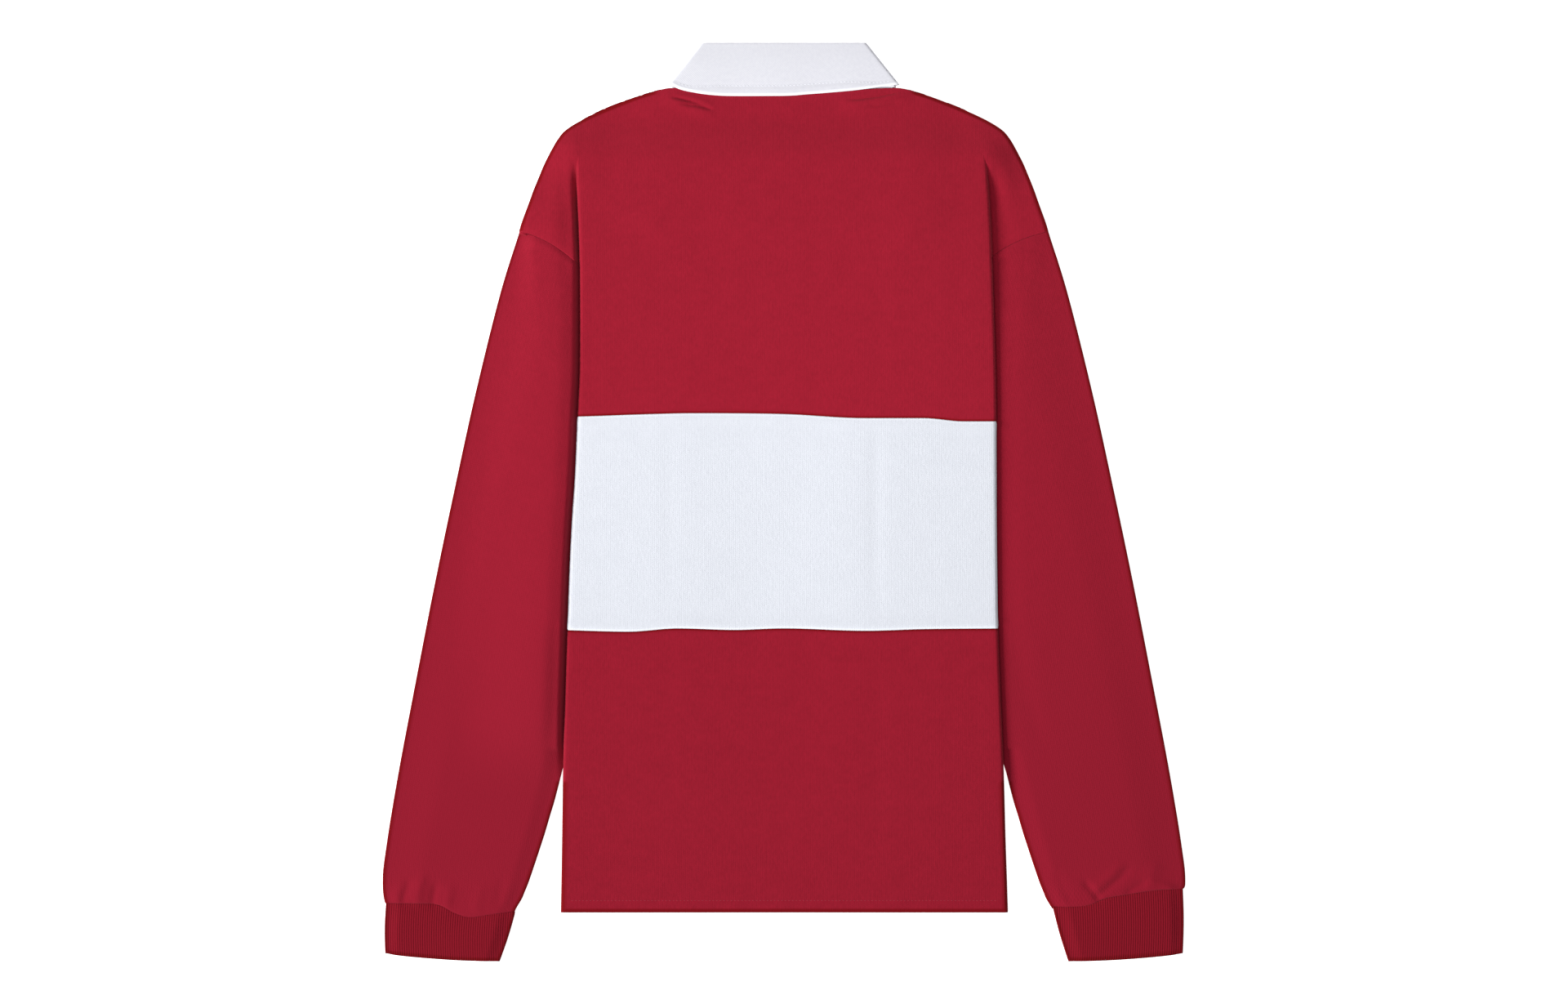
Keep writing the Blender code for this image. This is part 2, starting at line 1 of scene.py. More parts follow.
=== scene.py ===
"""The looks of a long-sleeved polo shirt of the rugby kind, laid flat with its back upwards.

Each cut-and-sewn piece is a thin shell of cloth on its solid's form, with finer folds, creases,
seams and stitches. Metres, +Z up, +Y towards the collar. Left and right are as seen from above.
"""

import logging
import math
from dataclasses import dataclass, field
from enum import Enum
from typing import Callable, Sequence

import bmesh
import bpy
import numpy as np
from bpy.types import Material, Node, NodeSocket, NodeTree, Object
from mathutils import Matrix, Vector


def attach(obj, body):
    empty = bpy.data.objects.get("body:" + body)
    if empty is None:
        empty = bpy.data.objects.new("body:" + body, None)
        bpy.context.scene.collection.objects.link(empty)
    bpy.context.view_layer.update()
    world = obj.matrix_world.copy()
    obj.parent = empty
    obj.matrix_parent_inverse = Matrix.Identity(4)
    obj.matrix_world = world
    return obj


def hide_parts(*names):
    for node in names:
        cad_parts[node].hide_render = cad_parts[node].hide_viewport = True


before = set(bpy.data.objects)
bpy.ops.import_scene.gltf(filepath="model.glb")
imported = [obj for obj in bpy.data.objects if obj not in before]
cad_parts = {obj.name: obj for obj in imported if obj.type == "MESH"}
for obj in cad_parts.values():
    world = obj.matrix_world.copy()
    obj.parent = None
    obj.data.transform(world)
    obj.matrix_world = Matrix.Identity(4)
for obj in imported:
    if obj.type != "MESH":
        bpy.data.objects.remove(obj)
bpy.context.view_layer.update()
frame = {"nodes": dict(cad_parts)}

MATH, MIX, RANGE = "ShaderNodeMath", "ShaderNodeMix", "ShaderNodeMapRange"
MAPPING, NOISE, PARTS = "ShaderNodeMapping", "ShaderNodeTexNoise", "ShaderNodeSeparateXYZ"

LOG = logging.getLogger("polo_shirt")
Array = np.ndarray
Values = Array | float
Line = Callable[[Array], Array]
Pair = tuple[float, float]
Points = Sequence[Pair]

# A wave texture repeats every 0.314 at a scale of 1.
WAVE_PERIOD = 0.314

BODY = "root"
PIXEL = 0.00068
PHOTO_WIDTH, PHOTO_HEIGHT = 1920, 1229
PHOTO_CENTRE_ROW = 615.5


class Side(Enum):
    """The shirt's two sides, as seen from above."""

    LEFT = -1
    RIGHT = 1


class Panel(Enum):
    """The body's two panels: the value is how many layers each lies above the front."""

    FRONT = 0
    BACK = 1


def blend(start: Values, end: Values, share: Values) -> Values:
    """The value that lies this share of the way from start to end."""
    return start + (end - start) * share


def smooth(low: float, high: float, value: Values) -> Values:
    """0 up to low and 1 from high on, with a soft turn between."""
    share = np.clip((np.asarray(value, float) - low) / (high - low), 0.0, 1.0)
    return share * share * (3 - 2 * share)


def along(points: Points, at: Values) -> Array:
    """Reads a soft curve through a short table of points.

    Args:
        points: pairs of key and value.
        at: the keys to read, held within the table's ends.

    Returns:
        The values there, on a cubic that never overshoots the points.
    """
    keys, values = np.array(sorted(points), float).T
    step = np.diff(keys)
    slope = np.diff(values) / step
    tangent = np.concatenate([slope[:1], (slope[:-1] + slope[1:]) / 2, slope[-1:]])
    limit = 3 * np.minimum(np.abs(slope[:-1]), np.abs(slope[1:]))
    limit[slope[:-1] * slope[1:] <= 0] = 0.0
    tangent[1:-1] = np.clip(tangent[1:-1], -limit, limit)
    at = np.clip(np.asarray(at, float), keys[0], keys[-1])
    index = np.clip(np.searchsorted(keys, at, "right") - 1, 0, len(keys) - 2)
    t = (at - keys[index]) / step[index]
    rise = values[index + 1] - values[index]
    lean = step[index] * ((t - 2) * t * t * tangent[index] + t * tangent[index])
    lean = lean + step[index] * (t - 1) * t * t * tangent[index + 1]
    return values[index] + rise * t * t * (3 - 2 * t) + lean


def near_rim(distance: Values, width: float = 0.0038, solid: float = 0.45) -> Values:
    """1 along an outline and 0 where the cloth lies further inside it than this width: the mask on
    which a finish paints its rim's shade or highlight.
    """
    return 1 - smooth(width * solid, width, distance)


def usually(values: dict) -> dict:
    """A dataclass field that has this value unless another is given."""
    return field(default_factory=lambda: values)


@dataclass(frozen=True)
class Crease:
    """A soft ridge or trough drawn on the cloth.

    start and end are in millimetres on the table, width is the ridge's half width, height is
    positive for a ridge and negative for a trough, and bow bends it sideways in its middle.
    """

    start: Pair
    end: Pair
    width: float
    height: float
    bow: float = 0.0
    fades_in: Pair = (-0.12, 0.25)
    fades_out: Pair = (0.7, 1.12)

    def rise(self, x: Array, y: Array) -> Array:
        """How far the cloth rises over the ridge or sinks into the trough.

        Args:
            x: places across the shirt.
            y: places along it.

        Returns:
            The rise in metres.
        """
        x, y = x * 1000, y * 1000
        run = np.subtract(self.end, self.start)
        length = float(np.hypot(*run))
        way = run / length
        t = ((x - self.start[0]) * way[0] + (y - self.start[1]) * way[1]) / length
        off = (y - self.start[1]) * way[0] - (x - self.start[0]) * way[1]
        inside = np.clip(t, 0.0, 1.0)
        off = off - self.bow * np.sin(np.pi * inside)
        fade = smooth(*self.fades_in, t) * (1 - smooth(*self.fades_out, t))
        return self.height / 1000 * fade * np.exp(-((off / self.width) ** 2))


@dataclass(frozen=True)
class SeamRidge:
    """The soft ridge of turned cloth beside a seam, and the valley in which the stitches lie.

    line gives the seam's points from left to right, and it has no effect outside them.
    """

    line: Points
    ridge_side: int
    ridge: float = 0.00042
    ridge_from: float = 0.0042
    ridge_width: float = 0.0036
    valley: float = 0.00050
    valley_width: float = 0.0012
    fade: float = 0.003

    def rise(self, x: Array, y: Array) -> Array:
        """How far the cloth rises beside the seam or sinks into it.

        Args:
            x: places across the shirt.
            y: places along it.

        Returns:
            The rise in metres.
        """
        off = y - along(self.line, x)
        first, last = self.line[0][0], self.line[-1][0]
        there = smooth(first - self.fade, first, x) * (1 - smooth(last, last + self.fade, x))
        ridge = np.exp(-(((off * self.ridge_side - self.ridge_from) / self.ridge_width) ** 2))
        valley = self.valley * np.exp(-((off / self.valley_width) ** 2))
        return there * (self.ridge * ridge - valley)


@dataclass(frozen=True)
class Relief:
    """The low unevenness of the uppermost cloth, which the cloth below it shares."""

    creases: Sequence[Crease]
    seams: Sequence[SeamRidge] = ()
    air: float = 0.0007
    ripple: float = 0.00007
    softness: float = 0.00018
    waves: tuple[tuple[float, float, float, float], ...] = (
        (38.0, 9.0, 0.3, 1.0), (-17.0, 46.0, 1.9, 0.9), (61.0, -33.0, 4.2, 0.55),
        (24.0, 79.0, 2.6, 0.5), (-96.0, 28.0, 5.1, 0.35), (71.0, 118.0, 0.9, 0.25),
    )

    def rise(self, x: Array, y: Array, extra: Values = 0.0) -> Array:
        """How far the cloth lies above its layer.

        Args:
            x: places across the shirt.
            y: places along it.
            extra: a rise of the piece's own, such as a sleeve's roundness.

        Returns:
            The rise in metres, never below nothing.
        """
        total = self.air + extra + np.zeros(np.broadcast(x, y).shape)
        for across, up, phase, size in self.waves:
            total = total + self.ripple * size * np.sin(across * x + up * y + phase)
        for part in (*self.creases, *self.seams):
            total = total + part.rise(x, y)
        return self.softness * np.logaddexp(0.0, total / self.softness)


@dataclass(frozen=True)
class Layers:
    """How the cloth's layers lie on each other."""

    wall: float = 0.0011
    gap: float = 0.00035

    @property
    def pitch(self) -> float:
        """From the middle of one layer to the middle of the next."""
        return self.wall + self.gap

    def middle(self, layer: Values) -> Values:
        """The height of the middle of a layer's wall."""
        return self.wall / 2 + layer * self.pitch


@dataclass(frozen=True)
class ShirtForm:
    """The laid-out shirt's sizes and the heights of its layers."""

    layers: Layers = Layers()
    # the outline in plan
    hem_y: float = -0.341
    underarm_y: float = 0.112
    pleat_y: float = 0.289
    pleat_start: float = 0.013
    tongue_y: float = 0.2882
    neck_side_y: float = 0.3417
    neck_half: float = 0.1110
    neck_dip: float = 0.030
    corner_half: float = 0.2078
    corner_y: float = 0.262
    cap_bow: float = 0.0165
    sleeve_leaves_y: float = -0.224
    sleeve_clear_y: float = -0.285
    armhole_start: Pair = (0.2203, 0.2260)
    strip_ends: dict[Side, float] = usually({Side.LEFT: 0.0945, Side.RIGHT: 0.0755})
    # the gap between the body's fold and the cloth outside it, towards its upper end
    under_fills: Pair = (0.226, 0.289)
    crevice_opens: Pair = (0.253, 0.2890)
    lap_width: float = 0.0030
    lap_ends: Pair = (0.264, 0.2885)
    trench: dict[Side, Pair] = usually({
        Side.LEFT: (0.0, 0.0080), Side.RIGHT: (0.0050, 0.0200),
    })
    # where two pieces meet, and where one leaves the other
    seam_gap: float = 0.00016
    under_shift: float = 0.0022
    free_sides_y: float = -0.232
    free_from: float = -0.0008
    # how a panel comes down from the folded strips, inwards, upwards and outwards
    slope_shift: float = 0.003
    slope_widths: dict[Panel, float] = usually({Panel.FRONT: 0.055, Panel.BACK: 0.072})
    slope_starts_to_fade: float = 0.285
    slope_fades: dict[Panel, float] = usually({Panel.FRONT: 0.314, Panel.BACK: 0.325})
    step_width: float = 0.015
    step_share: float = 0.10
    fall_shift: float = 0.001
    front_fall: float = 0.011
    drop_fall: float = 0.034
    lap_slack: float = 0.0004
    lap_step: float = 0.0014
    hover: float = 0.86
    # the swell of the tucked cloth beside the fold: its height, and from where to where it rises
    beside: dict[Side, tuple[float, float, float]] = usually({
        Side.LEFT: (0.0090, 0.0006, 0.0056), Side.RIGHT: (0.0004, 0.0120, 0.0250),
    })
    beside_fall: float = 0.090
    beside_roll: float = 0.22
    roll_reach: float = 0.019
    beside_fades_up: Pair = (0.225, 0.285)
    beside_fades_down: Pair = (-0.245, -0.170)
    # where the collar's front and the placket lift the cloth
    collar_starts: Pair = (0.206, 0.236)
    collar_ends: Pair = (0.098, 0.150)
    placket_starts: Pair = (0.084, 0.106)
    placket_ends: Pair = (0.0175, 0.036)
    # points of the folded edges, the shoulders' outline and the band's seams
    edges: dict[Side, Points] = usually({
        Side.LEFT: (
            (-0.341, 0.1856), (-0.224, 0.1836), (-0.106, 0.1802), (-0.017, 0.1765),
            (0.020, 0.1740), (0.072, 0.1717), (0.113, 0.1699), (0.187, 0.1696),
            (0.230, 0.1708), (0.289, 0.1732),
        ),
        Side.RIGHT: (
            (-0.341, 0.1863), (-0.224, 0.1826), (-0.106, 0.1780), (-0.017, 0.1768),
            (0.040, 0.1765), (0.072, 0.1764), (0.113, 0.1758), (0.187, 0.1734),
            (0.230, 0.1718), (0.289, 0.1682),
        ),
    })
    shoulder: Points = (
        (0.2260, 0.2203), (0.2315, 0.2187), (0.2485, 0.2126), (0.2621, 0.2078),
        (0.2723, 0.2037), (0.2825, 0.1994), (0.2893, 0.1959), (0.2961, 0.1922),
        (0.3029, 0.1881), (0.3097, 0.1824), (0.3165, 0.1724), (0.3233, 0.1592),
        (0.3301, 0.1435), (0.3356, 0.1296), (0.3383, 0.1221), (0.3417, 0.1110),
    )
    band_top: Points = (
        (-0.184, 0.0715), (-0.172, 0.0717), (-0.109, 0.0738), (-0.075, 0.0745),
        (0.000, 0.0738), (0.068, 0.0704), (0.116, 0.0704), (0.150, 0.0677), (0.184, 0.0677),
    )
    band_bottom: Points = (
        (-0.186, -0.1057), (-0.129, -0.1071), (-0.088, -0.1044), (-0.041, -0.1057),
        (0.000, -0.1044), (0.068, -0.1064), (0.116, -0.1050), (0.184, -0.1044),
    )

    def edge(self, side: Side, y: Values) -> Array:
        """How far out the folded side of the body reaches."""
        return along(self.edges[side], y)

    def edge_at(self, x: Array, y: Array) -> Array:
        """The folded edge on the side on which a point lies."""
        return np.where(np.asarray(x) < 0, self.edge(Side.LEFT, y), self.edge(Side.RIGHT, y))

    def fold_centre(self, side: Side, y: Values) -> Array:
        """How far out the flat part ends and the side fold begins."""
        return self.edge(side, y) - self.layers.wall / 2 - 1.5 * self.layers.pitch

    def strip_end(self, side: Side, y: Values) -> Array:
        """How far in the folded strip reaches: to the side seam or the pleat's inner edge.

        Args:
            side: the side.
            y: places along the shirt.

        Returns:
            The distance from the middle of the shirt.
        """
        top = self.edge(side, self.pleat_y) - self.pleat_start
        share = (np.asarray(y, float) - self.underarm_y) / (self.pleat_y - self.underarm_y)
        return blend(self.strip_ends[side], top, np.clip(share, 0.0, 1.0))

    def lap(self, y: Values) -> Array:
        """How far the cloth outside the side fold still lies over the fold, near its upper end."""
        return self.lap_width * smooth(*self.lap_ends, y)

    def under_layers(self, y: Values) -> Array:
        """The sleeve's two layers, which lift the body's sides until the sleeve has left them."""
        return 2 * smooth(self.sleeve_clear_y, self.sleeve_leaves_y - 0.004, y)

    def pile(self, x: Array, y: Array, panel: Panel) -> Array:
        """How many layers lie under a panel's sides.

        Args:
            x: places across the shirt.
            y: places along it.
            panel: the back spans the step between the layers more softly than the front.

        Returns:
            The number of layers, from 0 in the middle to 4 over the sleeves.
        """
        upper = panel is Panel.BACK
        total = np.zeros(np.broadcast(x, y).shape)
        bare = np.ones(total.shape)
        for side in Side:
            out = np.asarray(x) * side.value
            end = self.strip_end(side, y)
            wide = self.slope_widths[panel]
            slope = smooth(0.0, 1.0, (out - end + self.slope_shift + wide) / wide)
            step = smooth(0.0, 1.0, (out - end + self.step_width) / self.step_width)
            across = blend(slope, step, self.step_share)
            fading = 1 - smooth(self.slope_starts_to_fade, self.slope_fades[panel], y)
            edge = self.edge(side, y)
            if upper:
                beyond = smooth(0.0, 1.0, (out - edge + self.fall_shift) / self.drop_fall)
                lapped = out - edge + self.lap_slack + self.lap(y)
                outside = smooth(0.0, 1.0, lapped / self.lap_step)
                opening = 1 - smooth(*self.crevice_opens, y)
                crevice = blend(1.0, smooth(*self.trench[side], out - edge), opening)
                filled = smooth(*self.under_fills, y) * crevice
                beyond = blend(beyond, 1 - (1 - beyond) * filled, outside)
            else:
                out = out - edge + self.fall_shift + 2 * self.layers.pitch
                beyond = smooth(0.0, 1.0, out / self.front_fall)
            total = total + (2 + self.under_layers(y)) * across * fading * (1 - beyond)
            bare = bare * (1 - across)
        if upper:
            total = total + self.hover * (2 + self.under_layers(y)) * fading * bare
        return total

    def ridge_beside(self, x: Array, y: Array) -> Array:
        """How far the tucked cloth outside the body swells up beside the body's fold.

        Args:
            x: places across the shirt.
            y: places along it.

        Returns:
            The rise in metres.
        """
        total = np.zeros(np.broadcast(x, y).shape)
        for side in Side:
            height, low, high = self.beside[side]
            out = np.asarray(x) * side.value - self.edge(side, y)
            swell = blend(smooth(low, high, out), smooth(low, self.roll_reach, out), self.beside_roll)
            swell = swell * (1 - smooth(high, high + self.beside_fall, out))
            total = total + height * swell
        above = smooth(*self.beside_fades_up, y)
        return total * (1 - above) * smooth(*self.beside_fades_down, y)

    def lift(self, x: Array, y: Array, panel: Panel) -> Array:
        """The layer that the collar's front adds below a panel, and the placket below the front.

        Args:
            x: places across the shirt.
            y: places along it.
            panel: the panel.

        Returns:
            The number of layers, from 0 to 1.
        """
        out = np.abs(x)
        collar = smooth(*self.collar_starts, y) * (1 - smooth(*self.collar_ends, out))
        placket = smooth(*self.placket_starts, y) * (1 - smooth(*self.placket_ends, out))
        return np.maximum(collar, placket) if panel is Panel.FRONT else collar

    def height(self, x: Array, y: Array, panel: Panel) -> Array:
        """The height of the middle of a panel's wall, seen from above."""
        layer = self.pile(x, y, panel) + self.lift(x, y, panel) + panel.value
        return self.layers.middle(layer)

    def pleat_line(self, x: Array) -> Array:
        """The line at which the side folds begin, lower in the middle."""
        return self.pleat_y - self.neck_dip * (1 - smooth(0.0, 0.120, np.abs(x)))

    def armhole(self, side: Side, share: Array, offset: float) -> tuple[Array, Array]:
        """Points of the armhole seam.

        Args:
            side: the side.
            share: the way along it, from 0 at the shoulder to 1 at the underarm.
            offset: how far above the seam the points lie.

        Returns:
            Their places across the shirt and along it.
        """
        x = blend(self.armhole_start[0], self.strip_ends[side], share)
        y = blend(self.armhole_start[1], self.underarm_y, share)
        return side.value * x, y + self.bow(share) + offset

    def bow(self, share: Array) -> Array:
        """How far the armhole seam bows up, most near the shoulder."""
        share = np.clip(share, 0, 1)
        return self.cap_bow * np.sin(np.pi * share * (1 + 0.5 * (1 - share)))


FORM = ShirtForm()


def give_wall(piece: Object, thickness: float) -> None:
    """Thickens a surface evenly to both sides.

    Args:
        piece: the surface.
        thickness: the wall's thickness.
    """
    wall = piece.modifiers.new("wall", "SOLIDIFY")
    wall.thickness = thickness
    wall.offset = 0.0


@dataclass
class Cloth:
    """A sheet of cloth that is being laid out: blocks of points with their place in the weave."""

    name: str
    wall: float = FORM.layers.wall
    points: list[tuple[float, float, float]] = field(default_factory=list)
    threads: list[Pair] = field(default_factory=list)
    rims: list[float] = field(default_factory=list)
    faces: list[tuple[int, ...]] = field(default_factory=list)
    known: dict[tuple[int, int, int], int] = field(default_factory=dict)

    def add(self, block: Array, weave: Array, rim: Values = 0.0) -> None:
        """Adds a grid of points, which shares the points it has in common with earlier ones.

        Args:
            block: rows by columns by 3, the middle of the wall.
            weave: rows by columns by 2, metres across and along the grain.
            rim: rows by columns, 1 at an outline that is seen from above, where the finish paints
                shade or a highlight.
        """
        rows, columns = block.shape[:2]
        rim = np.broadcast_to(rim, (rows, columns))
        index = np.empty((rows, columns), int)
        for i in range(rows):
            for j in range(columns):
                key = tuple(int(round(value * 1e6)) for value in block[i, j])
                if key not in self.known:
                    self.known[key] = len(self.points)
                    self.points.append(tuple(block[i, j]))
                    self.threads.append(tuple(weave[i, j]))
                    self.rims.append(float(rim[i, j]))
                index[i, j] = self.known[key]
        for i in range(rows - 1):
            for j in range(columns - 1):
                corners = (
                    index[i, j], index[i, j + 1], index[i + 1, j + 1], index[i + 1, j],
                )
                face = tuple(dict.fromkeys(int(corner) for corner in corners))
                if len(face) > 2:
                    self.faces.append(face)

    def finish(self, material: Material, walled: bool = True) -> Object:
        """Makes the object, with its weave as a UV map and its rim as an attribute, which marks where
        shade or a highlight is painted.

        Args:
            material: the finish.
            walled: whether it gets its wall now.

        Returns:
            The object, at the origin.
        """
        mesh = bpy.data.meshes.new(self.name)
        mesh.from_pydata(self.points, [], self.faces)
        tidy = bmesh.new()
        tidy.from_mesh(mesh)
        bmesh.ops.recalc_face_normals(tidy, faces=tidy.faces)
        tidy.to_mesh(mesh)
        tidy.free()
        uv = mesh.uv_layers.new(name="weave")
        corner_points = np.empty(len(mesh.loops), np.int32)
        mesh.loops.foreach_get("vertex_index", corner_points)
        uv.data.foreach_set("uv", np.array(self.threads, np.float32)[corner_points].ravel())
        # The rim mask, on which the finish paints shade or a highlight.
        rim = mesh.attributes.new("rim", "FLOAT", "POINT")
        rim.data.foreach_set("value", np.array(self.rims, np.float32))
        mesh.shade_smooth()
        mesh.materials.append(material)
        piece = bpy.data.objects.new(self.name, mesh)
        bpy.context.scene.collection.objects.link(piece)
        if walled:
            give_wall(piece, self.wall)
        return piece


def grid(x: Array, y: Array, z: Array) -> Array:
    """Three arrays of one shape as a grid of points."""
    return np.stack(np.broadcast_arrays(x, y, z), axis=-1)


def travel(line: Array) -> Array:
    """How far along a line each of its points lies."""
    return np.cumsum(np.hypot(*np.diff(line, axis=0, prepend=line[:1]).T))


def spaced(length: float, coarse: float, fine: float = 0.0009, growth: float = 1.45) -> Array:
    """Shares of a length that lie close together at both ends, where the seams are.

    Args:
        length: the length in metres.
        coarse: the spacing in the middle.
        fine: the spacing at the ends.
        growth: how much wider each next step is.

    Returns:
        Rising shares from 0 to 1.
    """
    steps, reach = [], 0.0
    step = fine
    while step < coarse and reach < length * 0.25:
        reach += step
        steps.append(reach / length)
        step *= growth
    start = np.array([0.0, *steps])
    count = max(2, int(round(length * (1 - 2 * start[-1]) / coarse)))
    middle = np.linspace(start[-1], 1 - start[-1], count + 1)
    return np.concatenate([start[:-1], middle, (1 - start[:-1])[::-1]])


@dataclass(frozen=True)
class Grain:
    """How finely a panel is meshed: the spacing of its grid and the steps round a fold."""

    spacing: float
    flat_columns: int
    arc_steps: int
    strip_columns: int


FINE = Grain(0.0028, 132, 12, 14)
COARSE = Grain(0.0060, 66, 8, 8)


@dataclass
class BodyPanels:
    """The flat tube of the body: a back and a front, each cut in three at the band's seams."""

    relief: Relief
    form: ShirtForm = FORM
    drop_columns: int = 22
    tongue_reach: float = 0.004
    near_fold: float = 0.012
    rejoins: Pair = (0.272, 0.2885)
    drop_gap: float = 0.0045
    drop_top_rise: float = 0.0025
    drop_curve: float = 1.2
    drop_ease: float = 0.6
    bridge_columns: int = 12
    lap_start: float = 0.0032
    edge_roll: float = 0.0007
    edge_roll_width: float = 0.0045
    under_edge: Pair = (0.016, 0.004)
    shown_width: float = 0.0010
    seam_rim: float = 0.0026
    fold_guess: float = 0.170
    seam_guess_y: float = 0.19
    drop_height: float = 0.060
    hidden_columns: int = 6
    yoke_height: float = 0.080
    yoke_spacing: float = 0.42
    front_neck_start: Pair = (0.014, 0.2745)
    front_neck_end: Pair = (0.093, 0.3465)
    front_neck_y: float = 0.272
    front_neck_gap: float = 0.002
    front_inset: float = 0.0022
    inset_width: float = 0.030
    inset_fades_in: Pair = (0.229, 0.246)
    inset_fades_out: Pair = (0.325, 0.3417)
    hem_stitch_half: float = 0.176
    hem_stitch_y: float = 0.010
    stitch_sink: float = 0.00012
    back_neck_line: Points = (
        (0.0, 0.3440), (0.060, 0.3442), (0.084, 0.3452), (0.094, 0.3453), (0.1110, 0.3417),
    )

    def seam(self, table: Points, offset: float) -> Line:
        """A line along one of the band's seams, moved up by the offset."""
        return lambda x: along(table, x) + offset

    def surface(self, x: Array, y: Array, panel: Panel) -> Array:
        """The middle of the wall on the body itself, with its folds."""
        return self.form.height(x, y, panel) + self.relief.rise(x, y)

    def from_shoulder(self, x: Array, y: Array) -> Array:
        """How far inside the shoulders' outline a place lies.

        Args:
            x: places across the shirt.
            y: places along it.

        Returns:
            The distance, square to the outline.
        """
        near = 0.002
        half, above, below = (along(self.form.shoulder, y + step) for step in (0, near, -near))
        lean = (above - below) / (2 * near)
        return (half - np.abs(x)) / np.sqrt(1 + lean**2)

    def rolled(self, x: Array, y: Array) -> Array:
        """How far the cloth rolls down at the shoulders' outline."""
        return self.edge_roll * (1 - smooth(0.0, self.edge_roll_width, self.from_shoulder(x, y))) ** 2

    def rim(self, x: Array, y: Array) -> Array:
        """Where the rims of the outline and of the band's seams are, on which shade or a highlight is
        painted.

        Args:
            x: places across the shirt.
            y: places along it.

        Returns:
            1 along the shoulders, the hem, the free sides above it and the band's seams.
        """
        form = self.form
        beside = np.where(y < form.free_sides_y, form.edge_at(x, y) - np.abs(x), 1.0)
        inside = np.where(y > form.armhole_start[1], self.from_shoulder(x, y), beside)
        seams = [np.abs(y - along(line, x)) for line in (form.band_top, form.band_bottom)]
        outline = near_rim(np.minimum(inside, y - form.hem_y))
        return np.maximum(outline, near_rim(np.minimum(*seams), self.seam_rim))

    def free(self, x: Array, y: Array) -> Array:
        """0 where the body lies on the cloth, and 1 outside it and at the fold's upper end."""
        out = np.abs(x) - self.form.edge_at(x, y)
        return np.maximum(smooth(self.form.free_from, self.drop_gap, out), smooth(*self.rejoins, y))

    def hook(self, side: Side, y: Array, centre: Array, panel: Panel, grain: Grain) -> Array:
        """The fold at one side and the strip that lies under the body.

        Args:
            side: the side.
            y: the rows' places at the fold.
            centre: where the fold begins in each row.
            panel: the panel.
            grain: the fineness.

        Returns:
            Rows by columns by 5: the point and its place in the weave.
        """
        form = self.form
        top = 2 + panel.value + form.under_layers(y)
        bottom = 1 - panel.value + form.under_layers(y)
        radius = (top - bottom) * form.layers.pitch / 2
        middle = form.layers.middle((top + bottom) / 2)
        start = self.relief.rise(side.value * centre, y)
        columns = []
        for step in range(1, grain.arc_steps + 1):
            turn = math.pi * step / grain.arc_steps
            out = centre + (radius + start / 2) * math.sin(turn)
            rise = start * math.cos(turn / 2) ** 2
            z = middle + radius * math.cos(turn) + rise
            columns.append((side.value * out, y, z, side.value * (centre + radius * turn), y))
        end = form.strip_end(side, y)
        for step in range(1, grain.strip_columns + 1):
            out = blend(centre, end, step / grain.strip_columns)
            travel = centre + radius * math.pi + (centre - out)
            level = form.layers.middle(bottom)
            columns.append((side.value * out, y, level, side.value * travel, y))
        return np.stack([np.stack(np.broadcast_arrays(*each), -1) for each in columns], 1)

    def section(self, lower: Line, upper: Line, shares: Array, panel: Panel, grain: Grain) -> Array:
        """The body between two lines, from the left strip over the top to the right strip.

        Args:
            lower: the line of the first row.
            upper: the line of the last row.
            shares: the rows' shares of the way between them.
            panel: the panel.
            grain: the fineness.

        Returns:
            Rows by columns by 5: the point and its place in the weave.
        """
        form = self.form
        hooks, ends = {}, {}
        for side in Side:
            centre = np.full(shares.shape, self.fold_guess)
            for _ in range(3):
                y = blend(lower(side.value * centre), upper(side.value * centre), shares)
                centre = form.fold_centre(side, y)
            ends[side] = side.value * centre
            y = blend(lower(ends[side]), upper(ends[side]), shares)
            hooks[side] = self.hook(side, y, centre, panel, grain)
        across = np.linspace(0, 1, grain.flat_columns + 1)
        x = blend(ends[Side.LEFT][:, None], ends[Side.RIGHT][:, None], across[None, :])
        y = blend(lower(x), upper(x), shares[:, None])
        flat = np.stack([x, y, self.surface(x, y, panel), x, y], -1)
        return np.concatenate([hooks[Side.LEFT][:, ::-1], flat, hooks[Side.RIGHT]], 1)

    def drop_edge(self, side: Side) -> Array:
        """The line from just outside the side fold to the shoulder's outline.

        Args:
            side: the side.

        Returns:
            Points in plan, from the inside outwards.
        """
        form = self.form
        share = np.linspace(0, 1, self.drop_columns + 1)
        share = blend(share, (1 - np.cos(math.pi * share)) / 2, self.drop_ease)
        start = form.edge(side, form.pleat_y) + self.drop_gap
        x = blend(start, form.corner_half, share)
        y = blend(form.pleat_y + self.drop_top_rise, form.corner_y, share**self.drop_curve)
        return np.stack([side.value * x, y], -1)

    def bridge(self, side: Side) -> Array:
        """The close columns that cross the end of the side fold.

        Args:
            side: the side.

        Returns:
            Points in plan, from the inside outwards.
        """
        form = self.form
        share = np.linspace(0, 1, self.bridge_columns + 2)[1:-1]
        start, edge = form.fold_centre(side, form.pleat_y), form.edge(side, form.pleat_y)
        x = blend(start, edge + self.drop_gap, share)
        y = form.pleat_y + self.drop_top_rise * np.clip((x - edge) / self.drop_gap, 0, 1)
        return np.stack([side.value * x, y], -1)

